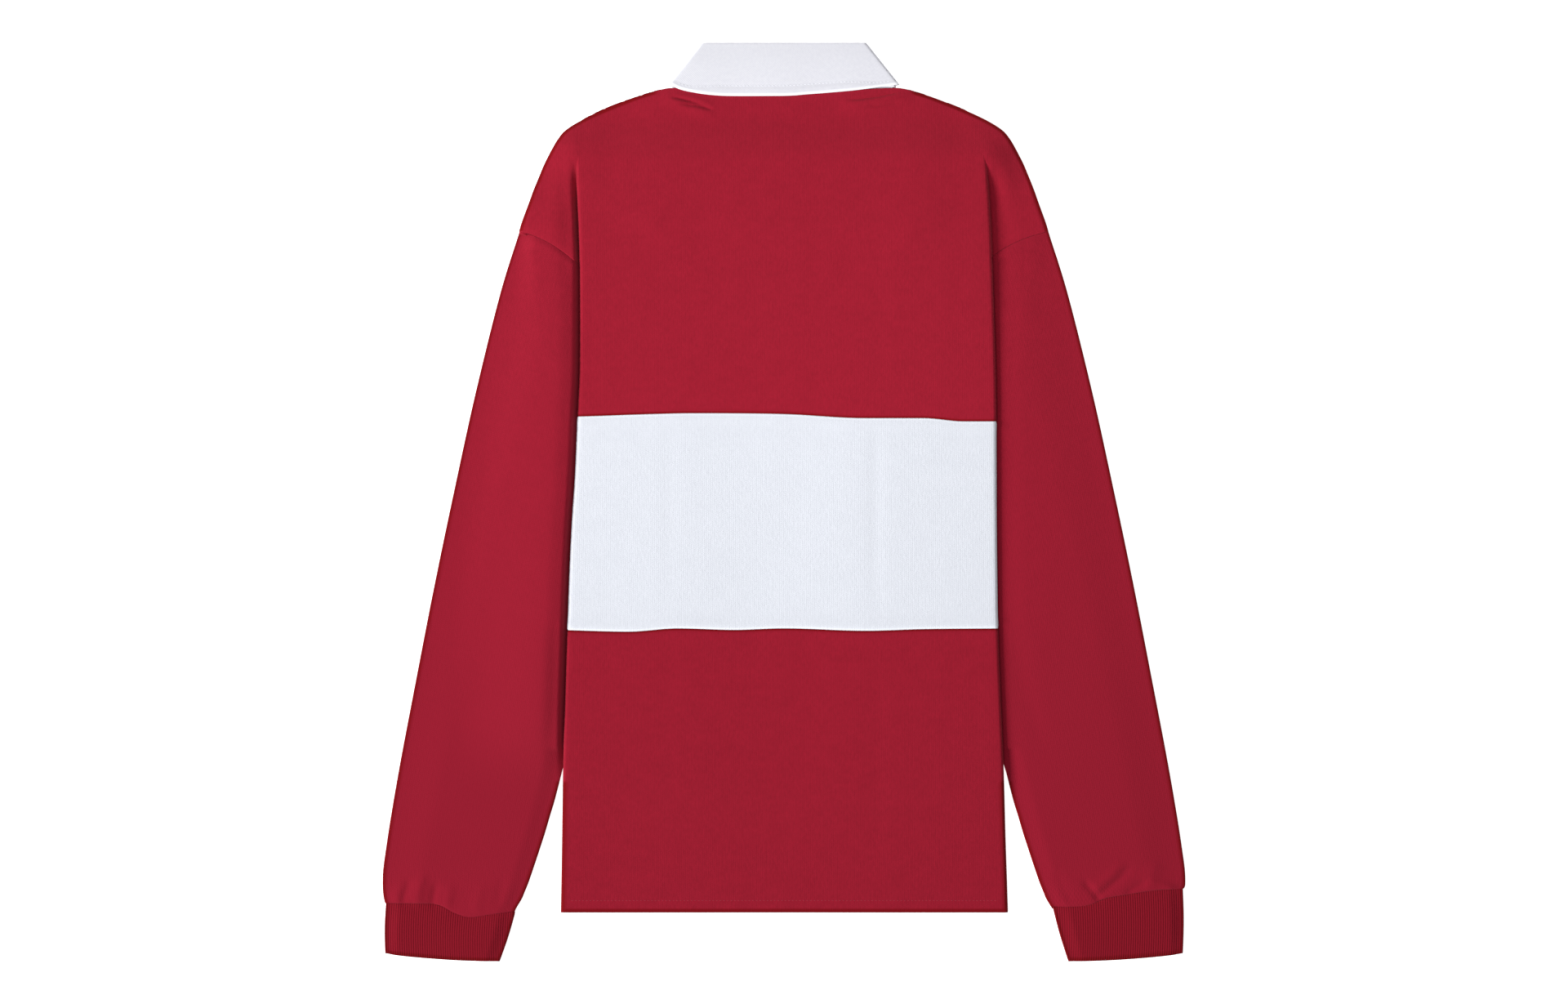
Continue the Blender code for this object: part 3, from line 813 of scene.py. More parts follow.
    def outer(self, x: Array, y: Array, panel: Panel) -> Array:
        """The middle of the wall on a dropped shoulder.

        Args:
            x: places across the shirt.
            y: places along it.
            panel: the front is flat, and rises to the back's wall near the outline alone.

        Returns:
            The heights.
        """
        form = self.form
        if panel is Panel.FRONT:
            rest, half = form.layers.middle(0), along(form.shoulder, y)
            lifted = np.maximum(rest, self.outer(x, y, Panel.BACK) - form.layers.pitch)
            start, end = (half - inside for inside in self.under_edge)
            return blend(rest, lifted, smooth(start, end, np.abs(x)))
        fold = form.edge_at(x, y) + form.lap_slack - form.lap(y)
        shown = 1 - smooth(0.0, 1.0, (fold - np.abs(x)) / self.shown_width)
        layer = 1 + form.pile(x, y, panel) * shown
        swell = self.relief.rise(x, y, form.ridge_beside(x, y)) * self.free(x, y)
        return form.layers.middle(layer) + swell * shown - self.rolled(x, y)

    def inset(self, x: Array, y: Array, panel: Panel) -> Array:
        """Draws the front in from the back's outline, so that the back rolls over it.

        Args:
            x: places across the shirt.
            y: places along it.
            panel: the panel; the back stays where it is.

        Returns:
            The places across the shirt.
        """
        if panel is Panel.BACK:
            return x
        half = along(self.form.shoulder, y)
        outside = smooth(half - self.inset_width, half, np.abs(x))
        there = smooth(*self.inset_fades_in, y) * (1 - smooth(*self.inset_fades_out, y))
        return x - np.sign(x) * self.front_inset * there * outside

    def front_neck(self, x: Array) -> Array:
        """The front's neck seam, just outside the stand's lower edge.

        Args:
            x: places across the shirt.

        Returns:
            The seam's places along it.
        """
        (start_x, start_y), (end_x, end_y) = self.front_neck_start, self.front_neck_end
        share = (np.abs(x) - start_x) / (end_x - start_x)
        seam = blend(start_y, end_y, share) - self.front_neck_gap
        return np.clip(seam, self.front_neck_y, self.form.neck_side_y)

    def back_neck(self, x: Array) -> Array:
        """The back's neck seam, which the collar hides."""
        return along(self.back_neck_line, np.abs(x))

    def yoke(self, panel: Panel, grain: Grain) -> Array:
        """The shoulders, from the pleat line up to the neck and the shoulder outlines.

        Args:
            panel: the panel.
            grain: the fineness.

        Returns:
            Rows by columns by 5: the point and its place in the weave.
        """
        form = self.form
        neck = self.back_neck if panel is Panel.BACK else self.front_neck
        pleat = self.section(form.pleat_line, form.pleat_line, np.zeros(1), panel, grain)[0]
        hook = grain.arc_steps + grain.strip_columns
        middle = pleat[hook:-hook]
        edges = {side: self.drop_edge(side) for side in Side}
        outer = {}
        for side, edge in edges.items():
            z = self.outer(edge[:, 0], edge[:, 1], panel)
            x = self.inset(edge[:, 0], edge[:, 1], panel)
            outer[side] = np.column_stack([x, edge[:, 1], z, edge])
        spans = {}
        for side in Side:
            x, y = self.bridge(side).T
            spans[side] = np.stack([x, y, self.surface(x, y, panel), x, y], -1)
        first = np.concatenate([
            outer[Side.LEFT][::-1], spans[Side.LEFT][::-1], middle,
            spans[Side.RIGHT], outer[Side.RIGHT],
        ])
        start_x, start_y = first[:, 3], first[:, 4]
        share = spaced(self.yoke_height, grain.spacing * self.yoke_spacing)[1:, None]
        outline_y = blend(form.corner_y, form.neck_side_y, share)
        out = start_x / form.corner_half
        x = out * along(form.shoulder, outline_y)
        y = blend(start_y, neck(out * form.neck_half), share)
        z = self.surface(x, y, panel)
        if panel is Panel.BACK:
            z = z - self.rolled(x, y) + self.form.ridge_beside(x, y)
        rows = np.stack([self.inset(x, y, panel), y, z, x, y], -1)
        return np.concatenate([first[None], rows])

    def drop(self, side: Side, panel: Panel, grain: Grain) -> Array:
        """The dropped shoulder outside the side fold, with the hidden tongue that runs under it.

        Args:
            side: the side.
            panel: the panel.
            grain: the fineness.

        Returns:
            Rows by columns by 5: the point and its place in the weave.
        """
        form = self.form
        edge = form.edge(side, form.pleat_y)
        hidden = np.linspace(
            form.strip_end(side, form.tongue_y), edge - self.lap_start, self.hidden_columns
        )
        tongue = np.full(self.hidden_columns, form.tongue_y + self.tongue_reach)
        under = np.column_stack([side.value * hidden, tongue])
        top = np.concatenate([under, self.bridge(side), self.drop_edge(side)])
        offset = np.abs(top[:, 0]) - edge
        span = form.corner_half - edge
        inner = np.clip(-offset - self.lap_start, 0, None)
        inner = inner / inner[0]
        outer = np.clip((offset - self.near_fold) / (span - self.near_fold), 0, 1)

        def place(y: Array) -> Array:
            """How far out the columns stand.

            Args:
                y: the places of their points along the shirt.

            Returns:
                The distances from the middle of the shirt.
            """
            fold = form.edge(side, y)
            strip = fold - self.lap_start - form.strip_end(side, y)
            base = np.where(inner > 0, -self.lap_start - inner * strip, offset)
            return fold + base + outer * (along(form.shoulder, y) - fold - span)

        seam_y = np.full(offset.shape, self.seam_guess_y)
        start, end = form.armhole_start[0], form.strip_ends[side]
        for _ in range(6):
            share = (start - place(seam_y)) / (start - end)
            seam_y = form.armhole(side, share, form.seam_gap / 2)[1]
        share = spaced(self.drop_height, grain.spacing)[:, None]
        seam_y[-1] = form.armhole_start[1] + form.seam_gap / 2
        if panel is Panel.FRONT:
            seam_y = seam_y - form.under_shift
        y = blend(top[None, :, 1], seam_y[None, :], share)
        x = side.value * place(y)
        x[0] = top[:, 0]
        z = self.outer(x, y, panel)
        if panel is Panel.BACK:
            joined = slice(self.hidden_columns, self.hidden_columns + len(self.bridge(side)))
            z[0, joined] = self.surface(x[0, joined], y[0, joined], panel)
        return np.stack([self.inset(x, y, panel), y, z, x, y], -1)

    def build(self, red: Material, white: Material, red_shaded_lower: Material) -> dict[str, Object]:
        """Makes the six pieces of the body.

        Args:
            red: the finish above the band.
            white: the band's finish.
            red_shaded_lower: the finish below the band, which is painted a shade darker as painted
                shade.

        Returns:
            The pieces by the names of the nodes they stand for.
        """
        form, half = self.form, self.form.seam_gap / 2
        finishes = {"lower": red_shaded_lower, "band": white, "upper": red}
        pieces = {}
        for panel, grain in ((Panel.BACK, FINE), (Panel.FRONT, COARSE)):
            word = panel.name.lower()
            under = form.under_shift * (panel is Panel.FRONT)
            bottom, top = form.band_bottom, form.band_top
            parts = {
                "lower": (lambda x: form.hem_y + 0 * x, self.seam(bottom, -half - under), 0.236),
                "band": (self.seam(bottom, half - under), self.seam(top, -half - under), 0.178),
                "upper": (self.seam(top, half - under), form.pleat_line, 0.205),
            }
            for part, (lower, upper, length) in parts.items():
                cloth = Cloth(f"cloth_{word}_{part}")
                blocks = [self.section(lower, upper, spaced(length, grain.spacing), panel, grain)]
                if part == "upper":
                    blocks.append(self.yoke(panel, grain))
                    blocks += [self.drop(side, panel, grain) for side in Side]
                for block in blocks:
                    rim = self.rim(block[..., 0], block[..., 1])
                    cloth.add(block[..., :3], block[..., 3:], rim)
                pieces[f"{word}_{part}"] = cloth.finish(finishes[part])
        return pieces

    def hem_stitches(self) -> Array:
        """The line of stitches above the back's hem.

        Returns:
            Points on the cloth, from left to right.
        """
        x = np.linspace(-self.hem_stitch_half, self.hem_stitch_half, 160)
        y = np.full(160, self.form.hem_y + self.hem_stitch_y)
        top = self.surface(x, y, Panel.BACK) + self.form.layers.wall / 2
        return grid(x, y, top - self.stitch_sink)


@dataclass
class Sleeves:
    """The two long sleeves: flat tubes that run down and inwards beneath the body."""

    relief: Relief
    form: ShirtForm = FORM
    # for each row, its outer point across and along the shirt, and its inner point along it
    rows: tuple[tuple[float, float, float], ...] = (
        (0.2203, 0.2260, 0.112), (0.2366, 0.1737, 0.060), (0.2570, 0.0920, -0.002),
        (0.2750, 0.0100, -0.068), (0.2919, -0.0710, -0.132), (0.3078, -0.1527, -0.184),
        (0.3195, -0.2140, -0.226), (0.3275, -0.2600, -0.262), (0.3318, -0.2880, -0.289),
        (0.3342, -0.3060, -0.306), (0.3346, -0.3165, -0.319),
    )
    inner: Points = (
        (-0.3403, 0.2244), (-0.3363, 0.2224), (-0.3295, 0.2183), (-0.3261, 0.2169),
        (-0.3159, 0.2128), (-0.3023, 0.2081), (-0.2887, 0.2036), (-0.2751, 0.1992),
        (-0.2615, 0.1952), (-0.2479, 0.1911), (-0.2240, 0.1850),
    )
    seams: dict[Side, Points] = usually({
        Side.LEFT: (
            (0.2240, -0.3403), (0.2420, -0.3424), (0.2610, -0.3451), (0.2720, -0.3424),
            (0.2856, -0.3356), (0.2970, -0.3335), (0.3318, -0.3335),
        ),
        Side.RIGHT: (
            (0.2240, -0.3363), (0.2353, -0.3363), (0.2536, -0.3349), (0.2700, -0.3290),
            (0.2870, -0.3260), (0.3100, -0.3223), (0.3325, -0.3213),
        ),
    })
    cuff_end: Points = (
        (0.2370, -0.3820), (0.2600, -0.3814), (0.2815, -0.3804), (0.3223, -0.3768),
        (0.3325, -0.3752),
    )
    # how closely the mesh's rows lie, counted in rows of the table from the armhole on
    close_rows: tuple[float, ...] = (0.0, 0.012, 0.028, 0.05, 0.08)
    even_rows: tuple[float, float, int] = (0.12, 9.0, 190)
    cuff_rows: tuple[float, float, int] = (2.0, 0.06, 30)
    last_row: float = 0.03
    puff: float = 0.0013
    puff_at_cuff: float = 0.45
    roll_out: float = 0.0050
    roll_out_at_hem: float = 0.003
    hem_above: float = 0.004
    body_leaves: float = 0.02
    spreads: tuple[float, float, float] = (1.3, 1.6, 0.6)
    crown_widths: Pair = (0.12, 0.30)
    crown_inner: float = 0.86
    keeps: Pair = (0.35, 0.74)
    seam_rows: float = 1.6
    free_rows: float = 1.0
    lower_layer: Pair = (-0.2, -0.98)
    shift_rows: Pair = (0.35, 0.25)
    cuff_puff: float = 0.0016
    cuff_flat: float = 0.35
    cuff_height: float = 0.045
    cuff_spacing: float = 0.0022
    cuff_bulge: float = 0.0008
    upper_columns: int = 78
    lower_columns: int = 34
    arc_steps: int = 10
    cuff_columns: int = 330

    def inner_x(self, side: Side, y: Array) -> Array:
        """The inner edge: hidden and straight from the underarm, then free and curved.

        Args:
            side: the side.
            y: places along the shirt.

        Returns:
            The edge's distances from the middle of the shirt.
        """
        form = self.form
        share = (form.underarm_y - y) / (form.underarm_y - form.sleeve_leaves_y)
        hidden = blend(form.strip_ends[side], self.inner[-1][1], share)
        return np.where(y <= form.sleeve_leaves_y, along(self.inner, y), hidden)

    def ring(self, outer: Array, inner: Array, upper: int) -> tuple[Array, Array, Array, Array]:
        """A flat tube's sections between two lines of points in plan.

        Args:
            outer: rows by 2, the outer edge.
            inner: rows by 2, the inner edge.
            upper: how many columns the upper layer has.

        Returns:
            Rows by columns: x and y, how far round the point lies above the tube's middle
            from 1 to -1, and its place across from 0 at the outer edge to 1 at the inner one.
        """
        layers = self.form.layers
        length = np.hypot(*(outer - inner).T)
        margin = (layers.wall + layers.pitch) / 2 / length
        radius = layers.pitch / 2 / length
        turns = np.linspace(0, math.pi, self.arc_steps + 1)[1:-1]
        top = np.linspace(0, 1, upper + 1)
        low = np.linspace(1, 0, self.lower_columns + 1)
        flat = np.concatenate([top, np.ones_like(turns), low, np.zeros_like(turns)])
        bulge = np.concatenate([0 * top, np.sin(turns), 0 * low, -np.sin(turns)])
        level = np.concatenate([top * 0 + 1, np.cos(turns), low * 0 - 1, -np.cos(turns)])
        share = margin[:, None] + (1 - 2 * margin[:, None]) * flat + radius[:, None] * bulge
        x = blend(outer[:, :1], inner[:, :1], share)
        y = blend(outer[:, 1:], inner[:, 1:], share)
        close = [np.concatenate([each, each[:, :1]], 1) for each in (x, y, share)]
        level = np.broadcast_to(np.append(level, level[0]), close[0].shape)
        return close[0], close[1], level, close[2]

    def lines(self, side: Side) -> tuple[Array, Array, Array]:
        """The sleeve's outer and inner edges from the armhole to the cuff's seam.

        Args:
            side: the side.

        Returns:
            Each row's number in the table of rows, its outer point and its inner point.
        """
        seam = self.seams[side]
        last = len(self.rows)
        table = np.array([*self.rows, (seam[-1][0], seam[-1][1], seam[0][1])])
        at = np.concatenate([
            self.close_rows, np.linspace(*self.even_rows),
            last - np.geomspace(*self.cuff_rows)[1:], [last - self.last_row, last],
        ])
        keys = range(last + 1)
        outer_x, outer_y, inner_y = (along(tuple(zip(keys, column)), at) for column in table.T)
        cap = self.form.armhole(side, np.array([0.0, 1.0]), -self.form.seam_gap / 2)
        outer_x[0], outer_y[0], inner_y[0] = abs(cap[0][0]), cap[1][0], cap[1][1]
        inner_x = self.inner_x(side, inner_y)
        inner_x[0] = abs(cap[0][1])
        outer = np.stack([side.value * outer_x, outer_y], -1)
        return at, outer, np.stack([side.value * inner_x, inner_y], -1)

    def height(
        self, side: Side, at: Array, x: Array, y: Array, level: Array, share: Array
    ) -> Array:
        """The middle of the wall of a tube.

        Args:
            side: the side.
            at: the rows' numbers, from the armhole on.
            x: places across.
            y: places along.
            level: 1 on the upper layer and -1 on the lower one.
            share: 0 at the outer edge and 1 at the inner one.

        Returns:
            The heights.
        """
        form, layers = self.form, self.form.layers
        flat = layers.middle(0.5) + level * layers.pitch / 2
        last = float(at.max())
        covered = y > form.sleeve_leaves_y + self.body_leaves
        out = np.abs(x) - form.edge(side, y)
        beneath = smooth(form.hem_y - self.hem_above, form.hem_y, y)
        free = np.where(covered, smooth(form.free_from, self.roll_out, out), 1.0)
        at_hem = smooth(form.free_from, self.roll_out_at_hem, out)
        free = np.minimum(free, 1 - beneath * (1 - at_hem))
        below_cap, above_cuff, at_cuff = self.spreads
        full = smooth(0.0, below_cap, at)
        spread = full * (1 - smooth(last - above_cuff, last - at_cuff, at))
        crown = self.crown(share, covered, blend(*self.crown_widths, spread))
        keep = blend(*self.keeps, spread)
        upper = smooth(-1.0, 1.0, level)
        round_up = full * blend(1.0, self.puff_at_cuff, smooth(last - at_cuff, last, at))
        own = crown * self.puff * round_up + form.ridge_beside(x, y)
        return flat + upper * free * self.relief.rise(x, y, own) * (keep + (1 - keep) * crown)

    def crown(self, share: Array, covered: Array | bool, wide: Values) -> Array:
        """How round a tube is across: 0 at its edges, except where the body covers one."""
        inner = smooth(self.crown_inner, 1.0, share) * ~np.asarray(covered)
        return smooth(0.0, 1.0, share / wide) * (1 - inner)

    def shifted(self, level: Array) -> Array:
        """How far down a tube's lower layer lies at a seam, so that no slit goes right through."""
        return self.form.under_shift * smooth(*self.lower_layer, level)

    def sleeve(self, side: Side, red: Material) -> Object:
        """Makes one sleeve.

        Args:
            side: the side.
            red: its finish.

        Returns:
            The sleeve.
        """
        at, outer, inner = self.lines(side)
        x, y, level, share = self.ring(outer, inner, self.upper_columns)
        at = at[:, None]
        bow = self.form.bow(share) * (1 - smooth(0, 1, at))
        last = float(at.max())
        on_seam = along(self.seams[side], np.abs(x)) + self.form.seam_gap / 2
        y = blend(y + bow, on_seam, smooth(last - self.seam_rows, last, at) ** 2)
        first, end = self.shift_rows
        y = y - self.shifted(level) * (1 - smooth(0.0, first, at) + smooth(last - end, last, at))
        shift = self.inner_x(side, y) - np.abs(inner[:, :1])
        lower = smooth(last - self.seam_rows, last - self.free_rows, at)
        x = x + side.value * shift * np.clip(share, 0, 1) * lower
        z = self.height(side, at, x, y, level, share)
        width = np.hypot(*(outer - inner).T)[:, None]
        around = np.where(level > 0, share, 2 - share) * width
        weave = np.stack([around, travel(outer)[:, None] + 0 * x], -1)
        free = y < self.form.free_sides_y
        inside = np.where(free, np.minimum(share, 1 - share), share) * width
        cloth = Cloth(f"cloth_sleeve_{side.name.lower()}")
        # Its outer edge, and its inner edge where it lies free, get the rim's painted shade.
        cloth.add(np.stack([x, y, z], -1), weave, near_rim(inside))
        return cloth.finish(red)

    def cuff(self, side: Side, rib: Material) -> Object:
        """Makes one cuff as a smooth tube, which its ribs are then worked into.

        Args:
            side: the side.
            rib: its finish.

        Returns:
            The cuff.
        """
        seam, end = self.seams[side], self.cuff_end
        down = spaced(self.cuff_height, self.cuff_spacing)
        bulge = self.cuff_bulge * np.sin(math.pi * down)
        outer_x = blend(seam[-1][0], end[-1][0], down) + bulge
        inner_x = blend(seam[0][0], end[0][0], down) - bulge
        flat = [np.stack([side.value * each, 0 * each], -1) for each in (outer_x, inner_x)]
        x, _, level, share = self.ring(*flat, self.cuff_columns)
        out = np.clip(share, 0, 1)
        top = along(seam, blend(seam[-1][0], seam[0][0], out)) - self.form.seam_gap / 2
        bottom = along(end, blend(end[-1][0], end[0][0], out))
        y = blend(top, bottom, down[:, None])
        y = y - self.shifted(level) * (1 - down[:, None])
        crown = self.crown(out, False, self.crown_widths[0])
        swell = blend(self.cuff_flat, 1.0, np.sin(math.pi * down[:, None]) ** 0.6)
        rise = self.relief.rise(x, y, crown * self.cuff_puff * swell)
        rise = rise * blend(self.cuff_flat, 1.0, crown)
        z = self.form.layers.middle(0.5) + level * self.form.layers.pitch / 2
        z = z + smooth(-1.0, 1.0, level) * rise
        around = np.where(level > 0, share, 2 - share) * (outer_x - inner_x)[:, None]
        inside = np.minimum(share, 1 - share) * (outer_x - inner_x)[:, None]
        # Its edges and its end get the rim's painted shade.
        rim = near_rim(np.minimum(inside, y - bottom))
        cloth = Cloth(f"cloth_cuff_{side.name.lower()}")
        cloth.add(np.stack([x, y, z], -1), np.stack([around, y], -1), rim)
        piece = cloth.finish(rib, walled=False)
        KnitRibs().work_into(piece, rib)
        give_wall(piece, self.form.layers.wall)
        return piece

    def build(self, red: Material, rib: Material) -> dict[str, Object]:
        """Makes both sleeves and both cuffs.

        Args:
            red: the sleeves' finish.
            rib: the cuffs' finish.

        Returns:
            The pieces by the names of the nodes they stand for.
        """
        pieces = {}
        for side in Side:
            word = side.name.lower()
            pieces[f"sleeve_{word}"] = self.sleeve(side, red)
            pieces[f"cuff_{word}"] = self.cuff(side, rib)
        return pieces


@dataclass(frozen=True)
class CollarLine:
    """The outline of one collar piece: its back edge and its two front halves."""

    inset: float
    layer: int
    front_top: Pair
    front_end: Pair
    corner: Pair
    back_edges: dict[Side, Points]


LEAF = CollarLine(
    inset=0.0, layer=3, front_top=(0.008, 0.290), front_end=(0.058, 0.238), corner=(0.0965, 0.348),
    back_edges={
        Side.LEFT: (
            (0.0, 0.3387), (0.29, 0.3386), (0.50, 0.3387), (0.67, 0.3397),
            (0.776, 0.3411), (0.883, 0.3431), (0.95, 0.3451), (1.0, 0.3476),
        ),
        Side.RIGHT: (
            (0.0, 0.3387), (0.10, 0.3391), (0.19, 0.3399), (0.40, 0.3414),
            (0.62, 0.3433), (0.83, 0.3458), (1.0, 0.3480),
        ),
    },
)
STAND = CollarLine(
    inset=0.0018, layer=2, front_top=(0.008, 0.290), front_end=(0.014, 0.2745),
    corner=(0.093, 0.3465), back_edges={side: ((0.0, 0.34545), (1.0, 0.34645)) for side in Side},
)


@dataclass
class Collar:
    """The turned-down collar: a leaf that rolls over its fold, and the stand inside it."""

    form: ShirtForm = FORM
    leaf: CollarLine = LEAF
    stand: CollarLine = STAND
    height: float = 0.044
    spacing: Pair = (0.0019, 0.0006)
    rim_width: float = 0.0026
    fold_y: float = 0.3825
    fold_half: float = 0.069
    back_columns: int = 44
    front_columns: int = 24
    arc_steps: int = 12
    roll_steps: int = 7
    turns: Pair = (0.55, 0.75)
    front_looks: Pair = (-0.83, 0.55)
    waves: tuple[tuple[float, float, float], ...] = ((0.28, 41.0, 0.7), (0.22, 97.0, 2.1))
    back_layer: float = 2.2
    back_blend: float = 0.0012
    edge_lift: float = 0.0009
    lifts_from: float = 0.45
    least_lift: float = 0.35
    edge_swell: float = 0.00035
    swell_starts: float = 0.0015
    swell_ends: float = 0.002
    groove: float = 0.00030
    groove_width: float = 0.0009
    belly: float = 0.0010
    belly_end: float = 0.85
    least_belly: float = 0.7
    stitch_from_edge: float = 0.0085
    stitch_at_ends: float = 0.0042
    stitch_narrows: Pair = (0.05, 0.085)

    def shares(self) -> Array:
        """The rows' shares of the way down a piece."""
        return spaced(self.height, *self.spacing)

    def stitch_from(self, x: Values) -> Values:
        """How far from the free edge the stitches lie: less at the collar's ends."""
        ends = smooth(*self.stitch_narrows, np.abs(x))
        return blend(self.stitch_from_edge, self.stitch_at_ends, ends)

    def half(self, line: CollarLine, side: Side, share: Array, layer: float) -> Array:
        """Rows of one half, from the centre of the back round to the front.

        Args:
            line: the piece's outline.
            side: the side.
            share: the rows, 0 at the fold and 1 at the free edge.
            layer: the back's layer, counted from the table; the front's is as far below the
                middle of the four layers.

        Returns:
            Rows by columns by 3.
        """
        layers = self.form.layers
        front_layer = self.leaf.layer - layer
        radius = (layer - front_layer) * layers.pitch / 2
        reach = layers.wall / 2 + line.inset + radius
        share = share[:, None]
        fold_y = self.fold_y - line.inset
        side_x = blend(self.fold_half, line.corner[0] + line.inset, share) - reach
        side_y = blend(fold_y, line.corner[1], share)
        out = np.linspace(0, 1, self.back_columns + 1)[None, :]
        edge = along(line.back_edges[side], out)
        back = grid(out * side_x, blend(fold_y, edge, share), layers.middle(layer))
        turn = np.linspace(0, math.pi, self.arc_steps + 1)[None, 1:]
        middle = layers.middle((layer + front_layer) / 2)
        arc = grid(side_x + radius * np.sin(turn), side_y, middle + radius * np.cos(turn))
        out = np.linspace(0, 1, self.front_columns + 1)[None, 1:]
        fold_x = blend(self.fold_half - reach, line.front_top[0], out)
        fold_to = blend(fold_y, line.front_top[1], out)
        edge_x = blend(line.corner[0] - reach, line.front_end[0], out)
        edge_y = blend(line.corner[1], line.front_end[1], out)
        x, y = blend(fold_x, edge_x, share), blend(fold_to, edge_y, share)
        half = np.concatenate([back, arc, grid(x, y, layers.middle(front_layer))], 1)
        return half * (side.value, 1, 1)

    def joined(self, left: Array, right: Array) -> Array:
        """Rows all round a piece, from its left front to its right front."""
        return np.concatenate([left[:, :0:-1], right], 1)

    def whole(self, line: CollarLine, share: Array) -> Array:
        """Both halves of a piece, in rows all round it."""
        return self.joined(*(self.half(line, side, share, line.layer) for side in Side))

    def roll(self, side: Side) -> Array:
        """Half of the leaf's fold, which turns over from its own layer to the stand's.

        Args:
            side: the side.

        Returns:
            Rows by columns by 3, ending on the leaf's first row.
        """
        leaf, under = (
            self.half(self.leaf, side, np.zeros(1), line.layer)[0]
            for line in (self.leaf, self.stand)
        )
        # In plan the fold bulges straight up at the back, and also inwards at the front.
        turned = smooth(*self.turns, np.linspace(0, 1, len(leaf)))
        inwards, upwards = self.front_looks
        away = np.stack([inwards * side.value * turned, blend(1, upwards, turned)], -1)
        radius = self.form.layers.pitch / 2
        rows = []
        for step in np.linspace(math.pi, 0, self.roll_steps + 1):
            row = (leaf + under) / 2 + (leaf - under) / 2 * math.cos(step)
            row[:, :2] += away * radius * (math.sin(step) - 1)
            rows.append(row)
        return np.array(rows)

    def dressed(self, block: Array, share: Array) -> Array:
        """Lifts and swells the leaf towards its free edge, as a stitched hem does.

        Args:
            block: rows by columns by 3.
            share: the rows.

        Returns:
            The block with its back raised.
        """
        share = share[:, None]
        above = block[..., 2] - self.form.layers.middle(self.back_layer)
        on_back = smooth(0.0, self.back_blend, above)
        x = block[..., 0]
        wave = 0.5 + sum(size * np.sin(pace * x + phase) for size, pace, phase in self.waves)
        lift = self.edge_lift * smooth(self.lifts_from, 1.0, share)
        hem = self.stitch_from(x)
        place = (1 - share) * self.height
        swell = self.edge_swell * smooth(0.0, self.swell_ends, hem - place)
        swell = swell * smooth(0.0, self.swell_starts, place)
        groove = self.groove * np.exp(-(((place - hem) / self.groove_width) ** 2))
        belly = self.belly * np.sin(math.pi * np.clip(share / self.belly_end, 0, 1)) ** 1.3
        rise = lift * blend(self.least_lift, 1.0, wave) + swell - groove
        rise = rise + belly * blend(self.least_belly, 1.0, wave)
        raised = block.copy()
        raised[..., 2] += on_back * rise
        return raised

    def build(self, white: Material) -> dict[str, Object]:
        """Makes the leaf and the stand.

        Args:
            white: their finish.

        Returns:
            The pieces by the names of the nodes they stand for.
        """
        pieces = {}
        for word, line in (("leaf", self.leaf), ("stand", self.stand)):
            share = self.shares()
            block = self.whole(line, share)
            if word == "leaf":
                block = self.dressed(block, share)
                roll = self.joined(*(self.roll(side) for side in Side))
                block = np.concatenate([roll, block[2:]])
                share = np.concatenate([np.zeros(len(roll)), share[2:]])
            cloth = Cloth(f"cloth_collar_{word}")
            down = np.cumsum(np.linalg.norm(np.diff(block, axis=0, prepend=block[:1]), axis=2), 0)
            around = np.broadcast_to(travel(block[-1, :, :2]), down.shape)
            # The free edge is marked for the rim's painted highlight.
            rim = near_rim((1 - share[:, None]) * self.height, self.rim_width)
            cloth.add(block, np.stack([around, down], -1), rim)
            pieces[f"collar_{word}"] = cloth.finish(white)
        return pieces

    def topstitch(self) -> Array:
        """The line of stitches above the leaf's free edge, on the back.

        Returns:
            Points on the cloth, from left to right.
        """
        share = self.shares()
        block = self.dressed(self.whole(self.leaf, share), share)
        centre = block.shape[1] // 2
        columns = range(centre - self.back_columns + 2, centre + self.back_columns - 1)
        points = []
        for column in columns:
            at = 1 - float(self.stitch_from(block[-1, column, 0])) / self.height
            points.append([np.interp(at, share, block[:, column, axis]) for axis in range(3)])
        return np.array(points) + (0, 0, self.form.layers.wall / 2)


